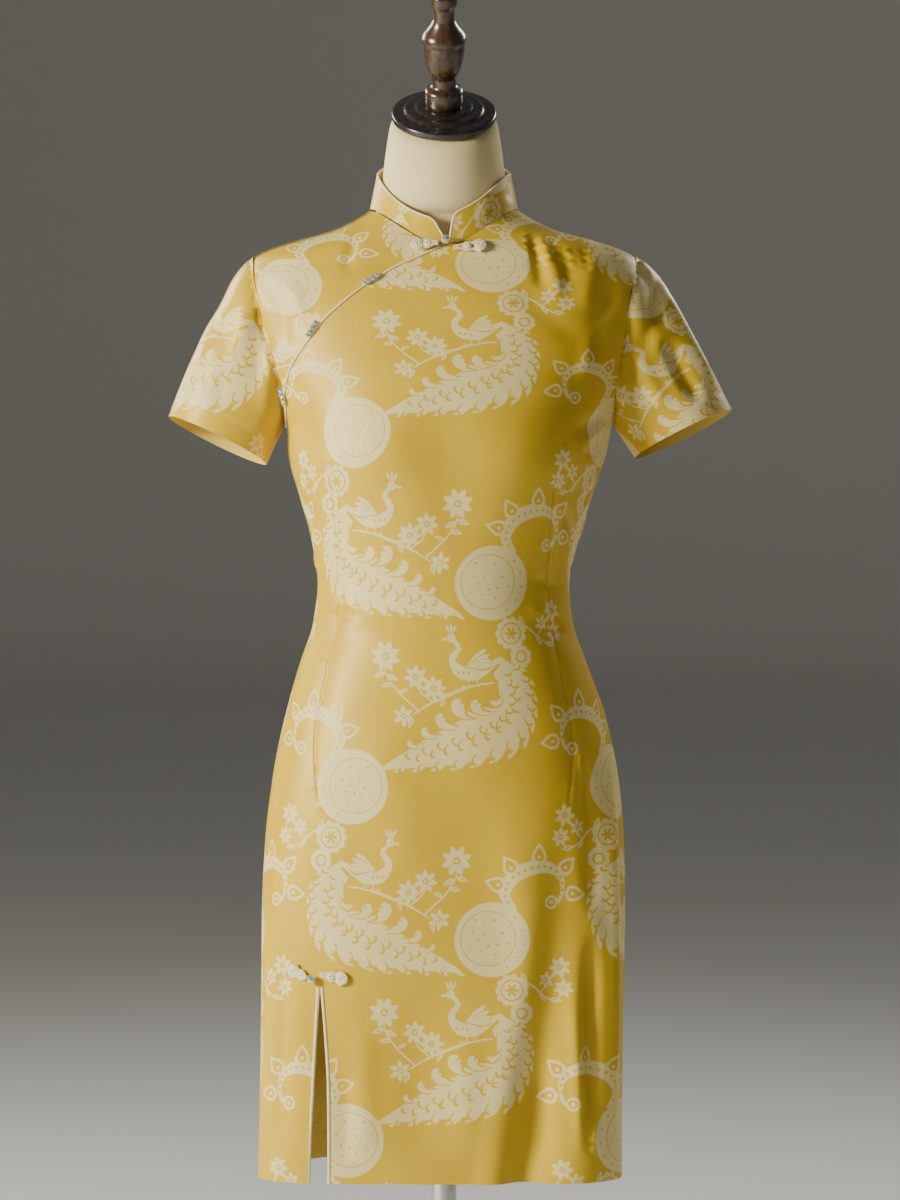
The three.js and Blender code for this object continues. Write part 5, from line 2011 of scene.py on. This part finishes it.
# The cap's turning: how far in from its rim, and height. The finial's: radius and height.
CAP_PROFILE = (
    (1.6, 0), (0.5, 0.6), (0, 2), (0, 6), (0.5, 7.2), (1.6, 7.8), (4.5, 8.3), (10, 8.5), (12.2, 9.4),
    (13, 11.2), (14.6, 12), (17, 12.2), (22, 12.1), (23.6, 12.9), (24.4, 14.2), (26, 14.5),
)
FINIAL_PROFILE = (
    (17.5, 0), (18.8, 2.5), (18.8, 15), (17, 18.5), (13.2, 20.5), (12.2, 24), (12.2, 30), (13.2, 32.5),
    (16, 39), (19, 51), (20.8, 64), (20.4, 67.5), (22, 71), (21, 76), (16, 83), (12.2, 89), (10.6, 95),
    (10.4, 102), (11.4, 106), (13.4, 110), (13.4, 117), (11.6, 121), (13.2, 126), (14.4, 133), (12, 142),
    (6.5, 149),
)


@dataclass(frozen=True)
class Stand:
    """The dress form, its turned cap and finial, and the pole on its base."""

    finishes: Finishes
    cap_radius: float = 52.0
    cap_tilt: float = 30.0
    cap_foot: tuple[float, float, float] = (0.0, -4.0, 1487.0)

    def refined(self, node: str, name: str, material: bpy.types.Material, rounds: int = 0) -> None:
        """A smooth copy of a CAD node, its points merged.

        Args:
            node: The CAD node.
            name: The new piece's name.
            material: Its finish.
            rounds: How often it is subdivided.
        """
        bm = bmesh.new()
        bm.from_mesh(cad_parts[node].data)
        bmesh.ops.remove_doubles(bm, verts=bm.verts, dist=1e-5)
        bmesh.ops.recalc_face_normals(bm, faces=bm.faces)
        mesh = drawn(bm, name)
        mesh.shade_smooth()
        obj = linked(name, mesh)
        if rounds:
            subsurf = obj.modifiers.new("smooth", "SUBSURF")
            subsurf.levels = subsurf.render_levels = rounds
        else:
            mesh.set_sharp_from_angle(angle=math.radians(38))
        give(obj, [node], [material])

    def turned(
        self, name: str, node: str, profile: Sequence[Point2], start: float, material: bpy.types.Material
    ) -> None:
        """A turned piece on the cap's tipped axis.

        Args:
            name: The piece's name.
            node: The CAD node that it stands for.
            profile: Radius and height of each stop, from the axis and back to it.
            start: How far up the axis its foot is.
            material: Its finish.
        """
        bm = bmesh.new()
        verts = [bm.verts.new((r * MM, 0, (start + h) * MM)) for r, h in profile]
        edges = [bm.edges.new(pair) for pair in zip(verts, verts[1:])]
        whole = 2 * math.pi
        bmesh.ops.spin(
            bm, geom=verts + edges, cent=(0, 0, 0), axis=(0, 0, 1), angle=whole, steps=72, use_merge=True
        )
        bmesh.ops.remove_doubles(bm, verts=bm.verts, dist=1e-6)
        bmesh.ops.recalc_face_normals(bm, faces=bm.faces)
        tipped = Matrix.Rotation(math.radians(self.cap_tilt), 4, "X")
        place = Matrix.Translation(Vector(self.cap_foot) * MM) @ tipped
        bmesh.ops.transform(bm, matrix=place, verts=bm.verts)
        mesh = drawn(bm, name)
        mesh.shade_smooth()
        mesh.set_sharp_from_angle(angle=math.radians(50))
        give(linked(name, mesh), [node], [material])

    def build(self) -> None:
        """Every piece of the stand."""
        f = self.finishes
        self.refined("form_body", "form_cover", f.cotton, 1)
        self.refined("pole_socket", "socket_steel", f.steel)
        self.refined("pole", "pole_steel", f.steel)
        self.refined("stand_base", "base_painted", f.paint)
        r = self.cap_radius
        cap = [(0, 0), *((r - inset, h) for inset, h in CAP_PROFILE), (0, CAP_PROFILE[-1][1])]
        self.turned("cap_turned", "neck_cap", cap, 0, f.cap_wood)
        heights = column(FINIAL_PROFILE, 1)
        radius = Curve(heights, column(FINIAL_PROFILE, 0))
        smooth = [(float(radius(h)), float(h)) for h in np.linspace(0, heights[-1], 90)]
        self.turned("finial_turned", "finial", [(0, 0), *smooth, (0, 151)], 14.8, f.finial_wood)


# ---- studio ----

# Each light: name, place, what it points at, width, watts and colour.
LIGHTS = (
    ("key_light", (-3.3, -1.75, 1.9), (0, 0, 0.88), 1.1, 285, (1, 0.96, 0.87)),
    ("fill_light", (1.4, -3.4, 1.0), (0, 0, 0.9), 2.4, 4, (1, 0.98, 0.94)),
    ("rim_light", (1.9, 2.0, 2.6), (0, 0, 1.2), 0.9, 42, (1, 0.96, 0.86)),
    ("back_light", (-2.0, 1.8, 2.4), (0, 0, 1.1), 1.0, 45, (0.94, 0.98, 1)),
)
AIR_COLOUR, AIR_STRENGTH = (1, 0.98, 0.94, 1), 0.11
LENS = 126.0
CAMERA_ASIDE, CAMERA_AWAY, CAMERA_UP = 0.006, 4.2, 1.187
CAMERA_DOWN = 2.455  # how far it is tipped down, in degrees


class Studio:
    """The floor, the lights and the camera."""

    def floor(self) -> None:
        """A wide round pale floor that curves up all round into a low backdrop."""
        bm = bmesh.new()
        flat, bend, high = 14, 2, 6
        turns = np.linspace(0.2, math.pi / 2, 8)
        profile = [(0, 0), (flat, 0)]
        profile += [(flat + bend * math.sin(a), bend - bend * math.cos(a)) for a in turns]
        profile.append((flat + bend, high))
        verts = [bm.verts.new((r, 0, z)) for r, z in profile]
        edges = [bm.edges.new(pair) for pair in zip(verts, verts[1:])]
        bmesh.ops.spin(bm, geom=verts + edges, axis=(0, 0, 1), cent=(0, 0, 0), angle=2 * math.pi, steps=96)
        bmesh.ops.remove_doubles(bm, verts=bm.verts, dist=1e-4)
        bmesh.ops.recalc_face_normals(bm, faces=bm.faces)
        mesh = drawn(bm, "studio_floor")
        mesh.shade_smooth()
        floor = linked("studio_floor", mesh)
        nodes = Nodes("studio_paper")
        nodes.dress(Base_Color=linear(222, 221, 216), Roughness=0.9)
        mesh.materials.append(nodes.material)

    def light(
        self,
        name: str,
        place: Sequence[float],
        aim: Sequence[float],
        size: float,
        power: float,
        colour: Sequence[float],
    ) -> None:
        """One soft square light, aimed at a point.

        Args:
            name: Its name.
            place: Where it stands.
            aim: What it points at.
            size: Its width.
            power: Its power in watts.
            colour: Its colour.
        """
        data = bpy.data.lights.new(name, "AREA")
        data.size, data.energy, data.color = size, power, colour
        light = bpy.data.objects.new(name, data)
        light.location = place
        light.rotation_euler = (Vector(aim) - Vector(place)).to_track_quat("-Z", "Y").to_euler()
        bpy.context.scene.collection.objects.link(light)

    def build(self) -> None:
        """Floor, lights, world and camera."""
        self.floor()
        for row in LIGHTS:
            self.light(*row)
        world = bpy.data.worlds.new("studio_air")
        world.use_nodes = True
        background = world.node_tree.nodes["Background"]
        background.inputs["Color"].default_value = AIR_COLOUR
        background.inputs["Strength"].default_value = AIR_STRENGTH
        bpy.context.scene.world = world
        data = bpy.data.cameras.new("camera")
        data.lens, data.sensor_width, data.sensor_fit = LENS, 36.0, "AUTO"
        camera = bpy.data.objects.new("camera", data)
        middle = (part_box("form_body")[0][0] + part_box("form_body")[1][0]) / 2
        camera.location = (middle + CAMERA_ASIDE, -CAMERA_AWAY, CAMERA_UP)
        camera.rotation_euler = (math.radians(90 - CAMERA_DOWN), 0, 0)
        bpy.context.scene.collection.objects.link(camera)
        bpy.context.scene.camera = camera


def main() -> None:
    """Builds every class in order."""
    logging.basicConfig(level=logging.INFO, format="%(message)s")
    finishes = Finishes()
    cloth = Cloth(finishes)
    cloth.front()
    cloth.under_front()
    cloth.back()
    for cut in SLEEVES:
        Sleeve(cut).build(finishes, cloth.group)
    collar = Collar()
    collar.build(finishes, cloth.group)
    trims = Trims(finishes)
    trims.pipings(collar)
    trims.fastenings()
    Stand(finishes).build()
    Studio().build()


if __name__ == "__main__":
    main()
